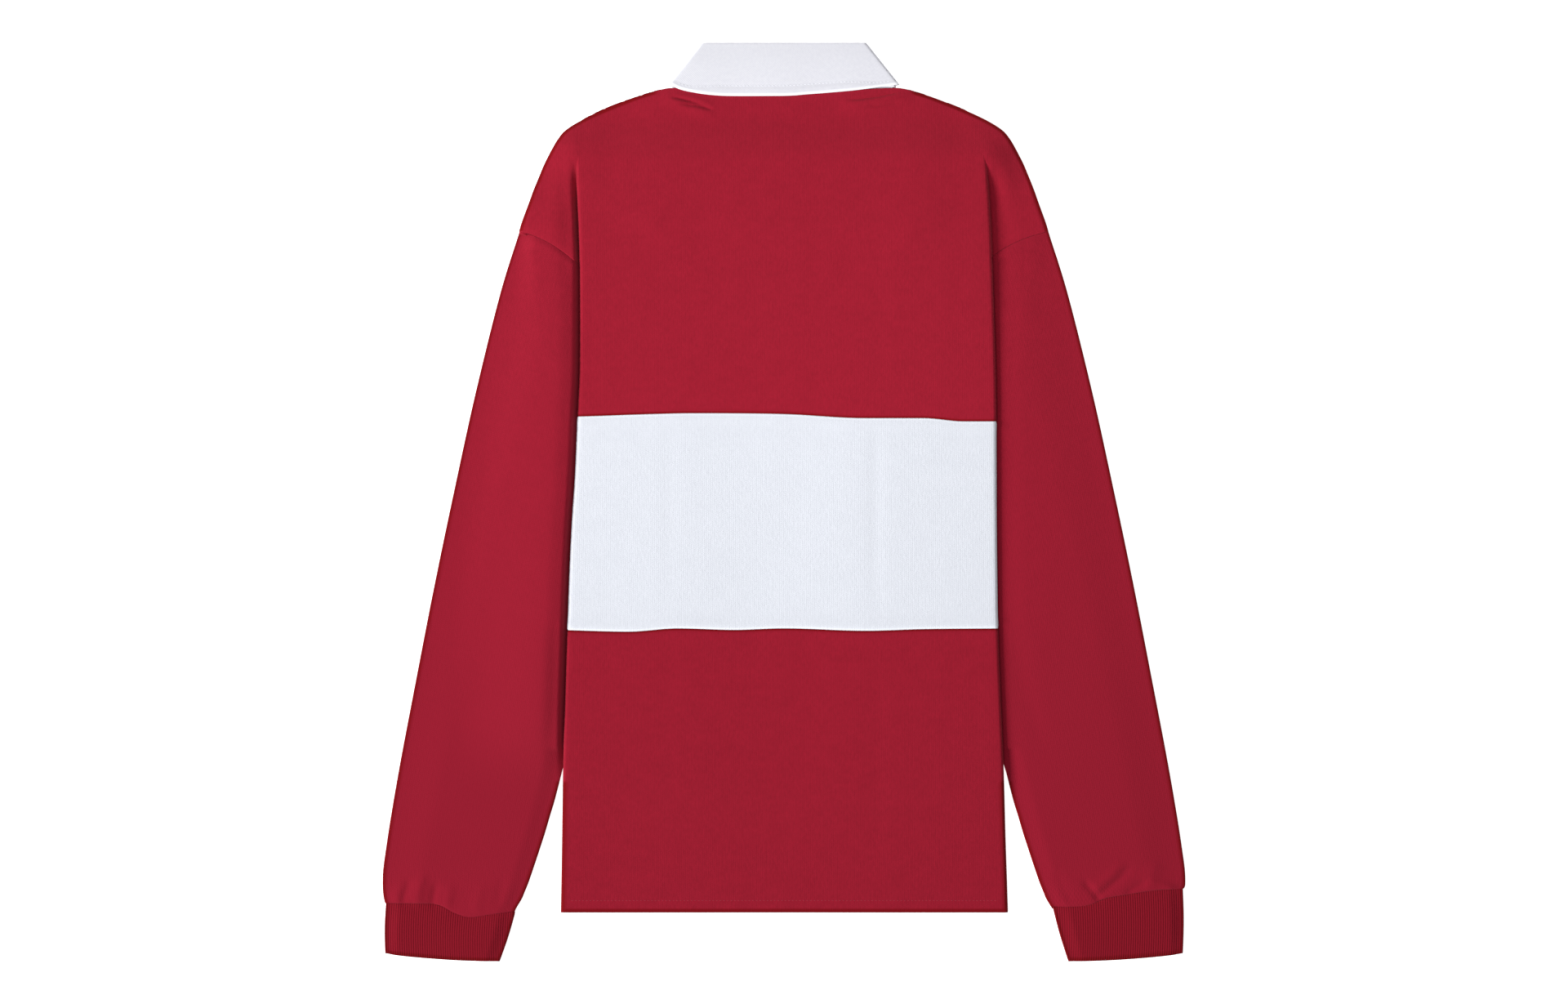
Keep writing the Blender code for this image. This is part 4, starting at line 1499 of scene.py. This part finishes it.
@dataclass
class Placket:
    """The buttoned strip on the hidden front, with a round seat for each button."""

    form: ShirtForm = FORM
    half_width: float = 0.017
    start_y: float = 0.108
    end_y: float = 0.268
    button_ys: tuple[float, ...] = (0.250, 0.198, 0.146)
    button_radius: float = 0.0055
    seat_gap: float = 0.00035
    patch: float = 0.010
    sides: int = 32
    rings: int = 4
    stitch_inset: float = 0.0025
    stitch_ends: float = 0.003
    stitch_z: float = 0.00018

    def seat(self, centre_y: float) -> Array:
        """The cloth round one button: from its seat out to a square.

        Args:
            centre_y: where the button sits.

        Returns:
            Rings by columns by 3.
        """
        turn = np.linspace(-math.pi / 4, 2 * math.pi - math.pi / 4, self.sides + 1)
        way = np.stack([np.cos(turn), np.sin(turn)], -1)
        square = way * (self.patch / np.abs(way).max(1, keepdims=True))
        circle = way * (self.button_radius + self.seat_gap)
        share = np.linspace(0, 1, self.rings + 1)[:, None, None]
        plan = blend(circle, square, share)
        return grid(plan[..., 0], plan[..., 1] + centre_y, self.form.layers.middle(0))

    def build(self, white: Material) -> Object:
        """Makes the placket.

        Args:
            white: its finish.

        Returns:
            The placket.
        """
        quarter = self.sides // 4
        stops = self.patch * np.tan(np.linspace(-math.pi / 4, math.pi / 4, quarter + 1))
        columns = np.array([-self.half_width, *stops, self.half_width])
        level = self.form.layers.middle(0)
        cloth = Cloth("cloth_placket")
        low = self.start_y
        for centre in sorted(self.button_ys):
            plain = np.linspace(low, centre - self.patch, 9)[:, None]
            blocks = [grid(columns[None, :], plain, level), self.seat(centre)]
            for edges in (columns[:2], columns[-2:]):
                blocks.append(grid(edges[None, :], (centre + stops)[:, None], level))
            for block in blocks:
                cloth.add(block, block[..., :2])
            low = centre + self.patch
        last = grid(columns[None, :], np.linspace(low, self.end_y, 5)[:, None], level)
        cloth.add(last, last[..., :2])
        return cloth.finish(white)

    def edge_lines(self) -> list[Array]:
        """The lines of stitches along the placket's two long edges, on the table's side.

        Returns:
            The points of each line.
        """
        inside = self.half_width - self.stitch_inset
        y = np.linspace(self.start_y + self.stitch_ends, self.end_y - self.stitch_ends, 40)
        return [grid(side.value * inside, y, self.stitch_z) for side in Side]


def add(tree: NodeTree, kind: str, inputs: dict | None = None, **settings: object) -> Node:
    """Adds a node to a tree.

    Args:
        tree: the tree.
        kind: the node's type.
        inputs: sockets by name or number, each with a value, or with the socket or the node
            (for its first output) that it takes.
        settings: the node's own properties.

    Returns:
        The node.
    """
    node = tree.nodes.new(kind)
    for name, value in settings.items():
        setattr(node, name, value)
    for key, value in (inputs or {}).items():
        if isinstance(value, Node):
            value = value.outputs[0]
        if isinstance(value, NodeSocket):
            tree.links.new(value, node.inputs[key])
        else:
            node.inputs[key].default_value = value
    return node


def linear(colour: str) -> tuple[float, float, float, float]:
    """The linear values of an sRGB hex colour."""
    parts = [int(colour[i:i + 2], 16) / 255 for i in (1, 3, 5)]
    return (*(p / 12.92 if p <= 0.04045 else ((p + 0.055) / 1.055) ** 2.4 for p in parts), 1.0)


def made_mesh(piece: Object) -> None:
    """Turns what a piece's modifiers make into its own plain mesh, and takes them off.

    Args:
        piece: the piece.
    """
    graph = bpy.context.evaluated_depsgraph_get()
    mesh = bpy.data.meshes.new_from_object(piece.evaluated_get(graph))
    piece.modifiers.clear()
    piece.data = mesh


def geometry_tree(name: str, sizes: dict[str, float]) -> tuple[NodeTree, Node]:
    """Starts a Geometry Nodes tree.

    Args:
        name: the tree's name.
        sizes: its named inputs with their usual values.

    Returns:
        The tree and its input node.
    """
    tree = bpy.data.node_groups.new(name, "GeometryNodeTree")
    face = tree.interface
    face.new_socket("Geometry", in_out="INPUT", socket_type="NodeSocketGeometry")
    for key, value in sizes.items():
        face.new_socket(key, in_out="INPUT", socket_type="NodeSocketFloat").default_value = value
    face.new_socket("Material", in_out="INPUT", socket_type="NodeSocketMaterial")
    face.new_socket("Geometry", in_out="OUTPUT", socket_type="NodeSocketGeometry")
    return tree, tree.nodes.new("NodeGroupInput")


def close_tree(tree: NodeTree, given: Node, made: Node) -> None:
    """Ends a tree: what it made becomes real and smooth and gets the piece's material.

    Args:
        tree: the tree.
        given: its input node.
        made: the last node, which gives a geometry.
    """
    real = add(tree, "GeometryNodeRealizeInstances", {0: made})
    soft = add(tree, "GeometryNodeSetShadeSmooth", {0: real})
    dressed = add(tree, "GeometryNodeSetMaterial",
                  {"Geometry": soft, "Material": given.outputs["Material"]})
    add(tree, "NodeGroupOutput", {0: dressed})


def run_tree(piece: Object, tree: NodeTree, values: dict[str, object]) -> None:
    """Runs a Geometry Nodes tree on a piece and keeps its result as the piece's mesh.

    Args:
        piece: the piece.
        tree: the tree.
        values: its inputs by name.
    """
    modifier = piece.modifiers.new(tree.name, "NODES")
    modifier.node_group = tree
    for item in tree.interface.items_tree:
        if item.in_out == "INPUT" and item.name in values:
            modifier[item.identifier] = values[item.name]
    made_mesh(piece)


@dataclass(frozen=True)
class KnitRibs:
    """The ribs of the cuffs: rounded wales with furrows between, worked into the surface."""

    spacing: float = 0.0019
    depth: float = 0.00013
    upward: float = 0.35

    @property
    def sizes(self) -> dict[str, float]:
        """The sizes that the tree takes."""
        return {"Spacing": self.spacing, "Depth": self.depth}

    def tree(self) -> NodeTree:
        """Builds the tree: each point sinks along its normal by its place in the rib.

        Returns:
            The tree, with the inputs Spacing, Depth and Material.
        """
        tree, given = geometry_tree("knit_ribs", self.sizes)
        weave = add(tree, "GeometryNodeInputNamedAttribute", {"Name": "weave"},
                    data_type="FLOAT_VECTOR")
        across = add(tree, PARTS, {0: weave})
        turns = add(tree, MATH, {0: across, 1: given.outputs["Spacing"]}, operation="DIVIDE")
        angle = add(tree, MATH, {0: turns, 1: math.pi}, operation="MULTIPLY")
        wave = add(tree, MATH, {0: angle}, operation="SINE")
        round_top = add(tree, MATH, {0: wave}, operation="ABSOLUTE")
        furrow = add(tree, MATH, {0: round_top, 1: 1.0}, operation="SUBTRACT")
        normal = add(tree, "GeometryNodeInputNormal")
        facing = add(tree, PARTS, {0: normal})
        top = add(tree, RANGE,
                  {"Value": facing.outputs["Z"], "From Min": 0.0, "From Max": self.upward})
        sink = add(tree, MATH, {0: furrow, 1: top}, operation="MULTIPLY")
        deep = add(tree, MATH, {0: sink, 1: given.outputs["Depth"]}, operation="MULTIPLY")
        offset = add(tree, "ShaderNodeVectorMath", {0: normal, "Scale": deep}, operation="SCALE")
        moved = add(tree, "GeometryNodeSetPosition",
                    {"Geometry": given.outputs["Geometry"], "Offset": offset})
        close_tree(tree, given, moved)
        return tree

    def work_into(self, piece: Object, material: Material) -> None:
        """Works the ribs into a cuff."""
        run_tree(piece, self.tree(), {**self.sizes, "Material": material})


@dataclass(frozen=True)
class StitchRow:
    """A row of machine stitches: short rounded threads that follow a line on the cloth."""

    pitch: float = 0.0030
    length: float = 0.0022
    thickness: float = 0.00055
    unevenness: Pair = (0.88, 1.08)
    seed: int = 7

    @property
    def sizes(self) -> dict[str, float]:
        """The sizes that the tree takes."""
        return {"Pitch": self.pitch, "Length": self.length, "Thickness": self.thickness}

    def tree(self) -> NodeTree:
        """Builds the tree: one stitch at each step of the line, turned along it.

        Returns:
            The tree, with the inputs Pitch, Length, Thickness and Material.
        """
        tree, given = geometry_tree("stitch_row", self.sizes)
        curve = add(tree, "GeometryNodeMeshToCurve", {0: given.outputs["Geometry"]})
        steps = add(tree, "GeometryNodeResampleCurve",
                    {"Curve": curve, "Length": given.outputs["Pitch"]}, mode="LENGTH")
        tangent = add(tree, "GeometryNodeInputTangent")
        turned = add(tree, "FunctionNodeAlignRotationToVector", {"Vector": tangent}, axis="X")
        uneven = add(tree, "FunctionNodeRandomValue",
                     {2: self.unevenness[0], 3: self.unevenness[1], "Seed": self.seed},
                     data_type="FLOAT")
        long = add(tree, MATH, {0: given.outputs["Length"], 1: uneven.outputs[1]},
                   operation="MULTIPLY")
        thick = given.outputs["Thickness"]
        size = add(tree, "ShaderNodeCombineXYZ", {0: long, 1: thick, 2: thick})
        thread = add(tree, "GeometryNodeMeshUVSphere", {"Segments": 8, "Rings": 6, "Radius": 0.5})
        placed = add(tree, "GeometryNodeInstanceOnPoints",
                     {"Points": steps, "Instance": thread, "Rotation": turned, "Scale": size})
        close_tree(tree, given, placed)
        return tree

    def sew(self, name: str, lines: Sequence[Array], thread: Material) -> Object:
        """Sews stitches along some lines.

        Args:
            name: the piece's name.
            lines: points on the cloth, one array for each line.
            thread: the thread's finish.

        Returns:
            One piece with all the stitches.
        """
        mesh = bpy.data.meshes.new(name)
        points, edges = [], []
        for line in lines:
            start = len(points)
            points += [tuple(point) for point in line]
            edges += [(start + i, start + i + 1) for i in range(len(line) - 1)]
        mesh.from_pydata(points, edges, [])
        piece = bpy.data.objects.new(name, mesh)
        bpy.context.scene.collection.objects.link(piece)
        run_tree(piece, self.tree(), {**self.sizes, "Material": thread})
        return piece


@dataclass(frozen=True)
class Finish:
    """What every finish has: two close tones, a tone painted at the rim as shade or highlight, its
    gloss and its relief.
    """

    name: str
    colour: str
    shade: str
    rim: str = ""
    # A tone painted further along the grain, as painted shade.
    deep: str = ""
    painted_shade_span: Pair = (0.0, 0.5)
    roughness: float = 0.9
    fuzz: float = 0.0
    fuzz_roughness: float = 0.5
    gloss: float = 0.5
    bump: float = 0.4
    relief: float = 0.0001
    tones: Pair = (0.0, 1.0)

    def start(self) -> tuple[Material, Node, Node]:
        """Starts the material with the values that are the same all over.

        Returns:
            The material, its shader and the piece's weave map.
        """
        material = bpy.data.materials.new(self.name)
        material.use_nodes = True
        shader = material.node_tree.nodes["Principled BSDF"]
        shader.inputs["Roughness"].default_value = self.roughness
        shader.inputs["Sheen Weight"].default_value = self.fuzz
        shader.inputs["Sheen Roughness"].default_value = self.fuzz_roughness
        shader.inputs["Specular IOR Level"].default_value = self.gloss
        return material, shader, add(material.node_tree, "ShaderNodeUVMap", uv_map="weave")

    def dress(self, shader: Node, tone: Node, height: Node) -> None:
        """Gives the shader its colour, with painted shade deeper along the grain, painted shade or
        highlight at the rim, and its relief.

        Args:
            shader: the shader.
            tone: a pattern, which gives the shade at the first of the tones and below it, and
                the colour at the second and above it.
            height: the relief's height.
        """
        tree = shader.id_data
        share = add(tree, RANGE,
                    {"Value": tone, "From Min": self.tones[0], "From Max": self.tones[1]})
        shown = add(tree, MIX, {0: share, 6: linear(self.shade), 7: linear(self.colour)},
                    data_type="RGBA").outputs[2]
        # Painted shade: the colour darkens along the grain, from the armhole towards the cuff, for
        # light that falls off there.
        if self.deep:
            place = add(tree, PARTS, {0: add(tree, "ShaderNodeUVMap", uv_map="weave")})
            far = add(tree, RANGE, {"Value": place.outputs["Y"], "From Min": self.painted_shade_span[0],
                                    "From Max": self.painted_shade_span[1]})
            shown = add(tree, MIX, {0: far, 6: shown, 7: linear(self.deep)},
                        data_type="RGBA").outputs[2]
        # At the rim the colour turns to painted shade on red and to a painted highlight on white.
        if self.rim:
            edge = add(tree, "ShaderNodeAttribute", attribute_name="rim",
                       attribute_type="GEOMETRY")
            shown = add(tree, MIX, {0: edge.outputs["Fac"], 6: shown, 7: linear(self.rim)},
                        data_type="RGBA").outputs[2]
        tree.links.new(shown, shader.inputs["Base Color"])
        bump = add(tree, "ShaderNodeBump",
                   {"Height": height, "Strength": self.bump, "Distance": self.relief})
        tree.links.new(bump.outputs[0], shader.inputs["Normal"])


@dataclass(frozen=True)
class JerseyKnit(Finish):
    """Single jersey of combed cotton, piece-dyed: matt, with fine columns of loops.

    The colour is slightly uneven at the size of yarns, and soft fibres catch grazing light.
    """

    roughness: float = 0.92
    fuzz: float = 0.06
    fuzz_roughness: float = 0.55
    gloss: float = 0.08
    bump: float = 0.55
    relief: float = 0.00022
    wale: float = 0.0016
    course: float = 0.0012
    loop_slant: float = 0.7
    loop_height: float = 0.3
    column_height: float = 0.35
    slubs: float = 520.0
    slub_height: float = 1.6
    slub_stretch: float = 0.42
    clouds: float = 75.0
    cloud_share: float = 0.38
    tones: Pair = (0.36, 0.64)
    roughnesses: Pair = (0.86, 0.97)

    def material(self) -> Material:
        """Builds the finish from the piece's weave map.

        Returns:
            The material.
        """
        material, shader, weave = self.start()
        tree = material.node_tree
        # A real wale is 0.7 mm wide; it is drawn at 1.6 mm, which is as fine as the picture shows.
        loops = add(tree, MAPPING,
                    {0: weave, "Scale": (1 / self.wale, 1 / self.course, 1.0)})
        parts = add(tree, PARTS, {0: loops})
        column = add(tree, MATH, {0: parts, 1: 1.0}, operation="PINGPONG")
        leaning = add(tree, MATH, {0: column, 1: self.loop_slant, 2: parts.outputs["Y"]},
                      operation="MULTIPLY_ADD")
        angle = add(tree, MATH, {0: leaning, 1: 2 * math.pi}, operation="MULTIPLY")
        wave = add(tree, MATH, {0: angle}, operation="SINE")
        ridge = add(tree, MATH, {0: column, 1: math.pi}, operation="MULTIPLY")
        crest = add(tree, MATH, {0: ridge}, operation="SINE")
        low_crest = add(tree, MATH, {0: crest, 1: self.column_height}, operation="MULTIPLY")
        knit = add(tree, MATH, {0: wave, 1: self.loop_height, 2: low_crest},
                   operation="MULTIPLY_ADD")
        yarn = add(tree, MAPPING, {0: weave, "Scale": (1.0, self.slub_stretch, 1.0)})
        slub = add(tree, NOISE,
                   {"Vector": yarn, "Scale": self.slubs, "Detail": 3.0, "Roughness": 0.6})
        cloud = add(tree, NOISE,
                    {"Vector": weave, "Scale": self.clouds, "Detail": 4.0, "Roughness": 0.62})
        fine = add(tree, MATH, {0: slub, 1: 1 - self.cloud_share}, operation="MULTIPLY")
        both = add(tree, MATH, {0: cloud, 1: self.cloud_share, 2: fine},
                   operation="MULTIPLY_ADD")
        rough = add(tree, RANGE,
                    {"Value": slub, "To Min": self.roughnesses[0], "To Max": self.roughnesses[1]})
        tree.links.new(rough.outputs[0], shader.inputs["Roughness"])
        grain = add(tree, MATH, {0: slub, 1: self.slub_height, 2: knit},
                    operation="MULTIPLY_ADD")
        self.dress(shader, both, grain)
        return material


@dataclass(frozen=True)
class RibKnit(Finish):
    """Rib-knitted cotton cuff cloth: darker than the jersey; its furrows are painted in the darker
    tone, as painted shade.
    """

    roughness: float = 0.95
    fuzz: float = 0.03
    fuzz_roughness: float = 0.6
    gloss: float = 0.08
    bump: float = 0.6
    relief: float = 0.0003
    spacing: float = KnitRibs.spacing
    course: float = 0.0014
    loop_height: float = 0.25
    yarns: float = 420.0
    yarn_height: float = 0.7
    tones: Pair = (0.35, 1.3)

    def material(self) -> Material:
        """Builds the finish from the piece's weave map.

        Returns:
            The material.
        """
        material, shader, weave = self.start()
        tree = material.node_tree
        scaled = add(tree, MAPPING,
                     {0: weave, "Scale": (1 / self.spacing, 1 / self.course, 1.0)})
        parts = add(tree, PARTS, {0: scaled})
        angle = add(tree, MATH, {0: parts, 1: math.pi}, operation="MULTIPLY")
        wave = add(tree, MATH, {0: angle}, operation="SINE")
        rib = add(tree, MATH, {0: wave}, operation="ABSOLUTE")
        course = add(tree, MATH, {0: parts.outputs["Y"], 1: 2 * math.pi}, operation="MULTIPLY")
        loops = add(tree, MATH, {0: course}, operation="SINE")
        yarn = add(tree, NOISE,
                   {"Vector": weave, "Scale": self.yarns, "Detail": 3.0, "Roughness": 0.6})
        mixed = add(tree, MATH, {0: yarn, 1: self.yarn_height, 2: rib}, operation="MULTIPLY_ADD")
        height = add(tree, MATH, {0: loops, 1: self.loop_height, 2: mixed},
                     operation="MULTIPLY_ADD")
        # The tone follows the ribs, so the furrows get painted shade.
        self.dress(shader, mixed, height)
        return material


@dataclass(frozen=True)
class CottonTwill(Finish):
    """Tightly woven cotton twill, pressed: crisp, smooth and bright, with faint slanting lines."""

    roughness: float = 0.85
    fuzz: float = 0.12
    gloss: float = 0.25
    relief: float = 0.00012
    rib: float = 0.0012
    slant: float = 63.0
    waver: float = 0.6
    yarns: float = 300.0
    yarn_height: float = 0.8
    tones: Pair = (0.35, 0.65)

    def material(self) -> Material:
        """Builds the finish from the piece's weave map.

        Returns:
            The material.
        """
        material, shader, weave = self.start()
        tree = material.node_tree
        slanted = add(tree, MAPPING,
                      {0: weave, "Rotation": (0.0, 0.0, math.radians(self.slant))})
        # Real twill ribs are 0.5 mm apart; they are drawn at 1.2 mm, so that they show at all.
        lines = add(tree, "ShaderNodeTexWave",
                    {"Vector": slanted, "Scale": WAVE_PERIOD / self.rib,
                     "Distortion": self.waver, "Detail": 1.0})
        yarn = add(tree, NOISE,
                   {"Vector": weave, "Scale": self.yarns, "Detail": 4.0, "Roughness": 0.6})
        height = add(tree, MATH, {0: yarn, 1: self.yarn_height, 2: lines.outputs["Fac"]},
                     operation="MULTIPLY_ADD")
        self.dress(shader, yarn, height)
        return material


@dataclass(frozen=True)
class PlainSurface(Finish):
    """A plain surface whose tone varies a little: thread, moulded button or table."""

    grain: float = 0.001

    def material(self) -> Material:
        """Builds the finish from object coordinates.

        Returns:
            The material.
        """
        material, shader, _ = self.start()
        tree = material.node_tree
        place = add(tree, "ShaderNodeTexCoord")
        noise = add(tree, NOISE,
                    {"Vector": place.outputs["Object"], "Scale": 1 / self.grain, "Detail": 3.0})
        self.dress(shader, noise, noise)
        return material


@dataclass(frozen=True)
class Lamp:
    """A soft rectangular light that points at the shirt."""

    name: str
    place: tuple[float, float, float]
    size: float
    power: float

    def hang(self) -> None:
        """Adds the light to the scene."""
        data = bpy.data.lights.new(self.name, "AREA")
        data.shape = "SQUARE"
        data.size = self.size
        data.energy = self.power
        lamp = bpy.data.objects.new(self.name, data)
        lamp.location = self.place
        lamp.rotation_euler = (-Vector(self.place)).to_track_quat("-Z", "Y").to_euler()
        bpy.context.scene.collection.objects.link(lamp)


@dataclass
class Studio:
    """The pale floor, the soft light and the camera, which looks straight down."""

    lens: float = 85.0
    sensor: float = 36.0
    floor_size: float = 9.0
    floor_z: float = -0.0001
    cloth_top: float = 0.005
    world: float = 0.30
    table_glow: float = 0.80
    lamps: tuple[Lamp, ...] = (
        Lamp("key", (-9.0, -2.0, 5.2), 3.6, 1520.0),
        Lamp("fill", (-0.02, 0.11, 0.62), 0.5, 1.35),
    )

    def floor(self) -> None:
        """Lays the floor."""
        reach = self.floor_size / 2
        mesh = bpy.data.meshes.new("floor")
        corners = [(-reach, -reach), (reach, -reach), (reach, reach), (-reach, reach)]
        mesh.from_pydata([(x, y, self.floor_z) for x, y in corners], [], [(0, 1, 2, 3)])
        finish = BOARD.material()
        # A white acrylic table that is also lit from below, so that no shadow greys it.
        shader = finish.node_tree.nodes["Principled BSDF"]
        shader.inputs["Emission Color"].default_value = (1.0, 1.0, 1.0, 1.0)
        shader.inputs["Emission Strength"].default_value = self.table_glow
        mesh.materials.append(finish)
        floor = bpy.data.objects.new("floor", mesh)
        bpy.context.scene.collection.objects.link(floor)

    def light(self) -> None:
        """Lights the scene and sets how bright it is shown."""
        scene = bpy.context.scene
        scene.world = bpy.data.worlds.new("studio")
        scene.world.use_nodes = True
        sky = scene.world.node_tree.nodes["Background"]
        sky.inputs["Color"].default_value = (1.0, 1.0, 1.0, 1.0)
        sky.inputs["Strength"].default_value = self.world
        for lamp in self.lamps:
            lamp.hang()
        scene.view_settings.view_transform = "Standard"
        scene.view_settings.look = "None"
        scene.view_settings.exposure = 0.0
        scene.view_settings.gamma = 1.0

    def camera(self) -> None:
        """Hangs the camera so that one pixel of the picture is one PIXEL of the shirt."""
        data = bpy.data.cameras.new("camera")
        data.lens = self.lens
        data.sensor_fit = "HORIZONTAL"
        data.sensor_width = self.sensor
        distance = PHOTO_WIDTH * PIXEL * self.lens / self.sensor
        camera = bpy.data.objects.new("camera", data)
        middle = (PHOTO_CENTRE_ROW - PHOTO_HEIGHT / 2) * PIXEL
        camera.location = (0.0, middle, distance + self.cloth_top)
        bpy.context.scene.collection.objects.link(camera)
        bpy.context.scene.camera = camera

    def build(self) -> None:
        """Sets up the studio."""
        self.floor()
        self.light()
        self.camera()


class Held(Enum):
    """How a piece of cloth lies."""

    LAID = "laid"
    FOLDED = "folded"


@dataclass(frozen=True)
class Cut:
    """How one piece was cut, what it lies on and which finish it has."""

    flat: Pair
    area: float
    held: Held
    rests_on: tuple[str, ...]
    slot: str


# Piece-dyed cotton is deep in tone and matt. The red below the band and on the sleeves is painted a
# shade darker than that above it, and the sleeves' red darkens further towards the cuffs: painted
# shade for light that falls off towards the bottom. The outer rims are painted darker on red, as
# painted shade, and brighter on white, as a painted highlight.
FINISHES = (
    JerseyKnit("red cotton jersey", "#9a172c", "#901428", "#780008"),
    JerseyKnit("red cotton jersey below the band", "#95152a", "#8b1226", "#740008"),
    JerseyKnit("red cotton jersey of the sleeves", "#96162b", "#8c1327", "#740008", "#8e1429"),
    JerseyKnit("white cotton jersey", "#d8dbe3", "#d3d6de", "#ebf0f8", fuzz=0.02),
    RibKnit("red rib knit", "#830f21", "#750d1c", "#6c040d"),
    CottonTwill("white cotton twill", "#dddde4", "#d8d8e0", "#f4f6fb"),
    PlainSurface("red cotton thread", "#9c1d33", "#8a182c", roughness=0.8, grain=0.0008),
    PlainSurface("white cotton thread", "#f2f3f8", "#dfe1ea", roughness=0.75, grain=0.0008),
)
# Moulded rubber is smooth and has a soft gloss; the painted board shows no grain at all.
BUTTON = PlainSurface(
    "moulded rubber", "#ece9de", "#dfdbcd", roughness=0.45, relief=0.00004, grain=0.004
)
BOARD = PlainSurface("white table board", "#fdfdfd", "#fafafa", relief=0.00005, grain=0.08)

BODY_CREASES = (
    # below the collar
    Crease((-100, 337), (-58, 325), 7.0, 1.5, 1.5),
    Crease((-93, 338), (-62, 329), 1.3, -2.3, 0.8),
    Crease((-84, 332), (-59, 327), 1.2, -1.7, 0.6),
    Crease((50, 332), (104, 340), 7.0, 1.4, -1.0),
    Crease((54, 335.5), (97, 342.6), 1.2, -2.3, -1.0),
    Crease((70, 330), (98, 335), 1.5, -1.0, -0.8),
    # beside the hidden strips
    Crease((-94, 60), (-95, -90), 7.0, -0.20),
    Crease((76, 66), (76, -96), 6.5, -0.36),
    Crease((77, -110), (75, -310), 9.0, -0.30),
    Crease((78, 76), (80, 250), 9.0, -0.25),
    Crease((-95, -115), (-94, -300), 9.0, -0.20),
    # across the band and the lower body
    Crease((-150, -84), (150, -90), 13.0, -0.35, 3.0),
    Crease((-120, -232), (100, -246), 17.0, 0.30, -5.0),
    # soft drags below the shoulders
    Crease((-150, 262), (-60, 178), 15.0, 0.35, 7.0),
    Crease((150, 258), (64, 170), 16.0, 0.30, -7.0),
)
SLEEVE_CREASES = (
    Crease((-190, -98), (-196, -215), 7.0, -0.9, 2.0),
    Crease((-181, 290), (-183, 176), 7.0, -0.75),
    Crease((-318, -335), (-311, -313), 3.6, -0.9, 0.8),
    Crease((-306, -336), (-300, -309), 4.2, 0.8, 0.8),
    Crease((-293, -337), (-289, -316), 3.4, -0.8, 0.6),
    Crease((-281, -340), (-277, -318), 4.2, 0.6, 0.6),
    Crease((-256, -343), (-251, -318), 5.0, 0.4, 1.5),
    Crease((-238, -340), (-233, -312), 5.0, -0.4, 1.0),
    Crease((249, -315), (264, -332), 3.0, -1.1, 0.5),
    Crease((260, -328), (289, -303), 3.2, -0.9, -1.0),
    Crease((254, -326), (282, -301), 4.5, 0.7, -1.0),
    Crease((284, -326), (305, -314), 3.0, -0.7, 0.6),
    Crease((303, -323), (311, -298), 6.0, 0.5, 1.0),
    Crease((240, -334), (226, -306), 5.0, -0.5, 1.5),
    Crease((196, -108), (212, -200), 9.0, -0.5, -3.0),
)


@dataclass
class Shirt:
    """The whole polo shirt."""

    pieces: dict[str, Object] = field(default_factory=dict)
    stitches: dict[str, list[Object]] = field(default_factory=dict)

    def relief(self) -> Relief:
        """The relief of everything that is seen from above.

        Returns:
            The listed creases and the ridges beside the band's and the armholes' seams.
        """
        form = FORM
        seams = [SeamRidge(form.band_top, -1), SeamRidge(form.band_bottom, 1)]
        for side, depth in ((Side.LEFT, 0.00055), (Side.RIGHT, 0.00038)):
            shown = np.linspace(0.0, 0.36, 9)
            line = tuple(sorted(zip(*form.armhole(side, shown, 0.0))))
            seams.append(SeamRidge(
                line, -1, ridge=0.0003, ridge_width=0.0034, valley=depth, valley_width=0.0026
            ))
        return Relief(BODY_CREASES + SLEEVE_CREASES, tuple(seams))

    def build(self) -> None:
        """Makes every piece of cloth and its stitches."""
        red, red_shaded_lower, red_shaded_sleeve, white, rib, twill, red_thread, white_thread = (
            finish.material() for finish in FINISHES
        )
        relief = self.relief()
        panels = BodyPanels(relief)
        self.pieces.update(panels.build(red, white, red_shaded_lower))
        LOG.info("body made")
        self.pieces.update(Sleeves(relief).build(red_shaded_sleeve, rib))
        LOG.info("sleeves made")
        collar = Collar()
        self.pieces.update(collar.build(twill))
        placket = Placket()
        self.pieces["placket"] = placket.build(twill)
        top = StitchRow().sew("stitches_collar", [collar.topstitch()], white_thread)
        self.stitches["collar_leaf"] = [top]
        under = StitchRow().sew("stitches_placket", placket.edge_lines(), white_thread)
        self.stitches["placket"] = [under]
        hem = StitchRow().sew("stitches_hem", [panels.hem_stitches()], red_thread)
        self.stitches["back_lower"] = [hem]

    def dress_buttons(self, nodes: dict[str, Object]) -> None:
        """Gives the buttons' own solids their finish.

        Args:
            nodes: the frame's nodes by name.
        """
        finish = BUTTON.material()
        for name, node in nodes.items():
            if name.startswith("button_"):
                node.data.materials.clear()
                node.data.materials.append(finish)

    def declare(self) -> None:
        """Hangs each piece and its stitches on the body, and hides the solid that the piece stands
        for.
        """
        for node, piece in self.pieces.items():
            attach(piece, BODY)
            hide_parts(node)
            sewn_on = self.stitches.get(node, [])
            for stitches in sewn_on:
                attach(stitches, BODY)
            LOG.info("%s: %d faces", piece.name, len(piece.data.polygons))


def main() -> None:
    """Builds the shirt and the studio."""
    logging.basicConfig(level=logging.INFO, format="%(message)s")
    shirt = Shirt()
    shirt.build()
    shirt.dress_buttons(frame["nodes"])
    shirt.declare()
    Studio().build()


if __name__ == "__main__":
    main()
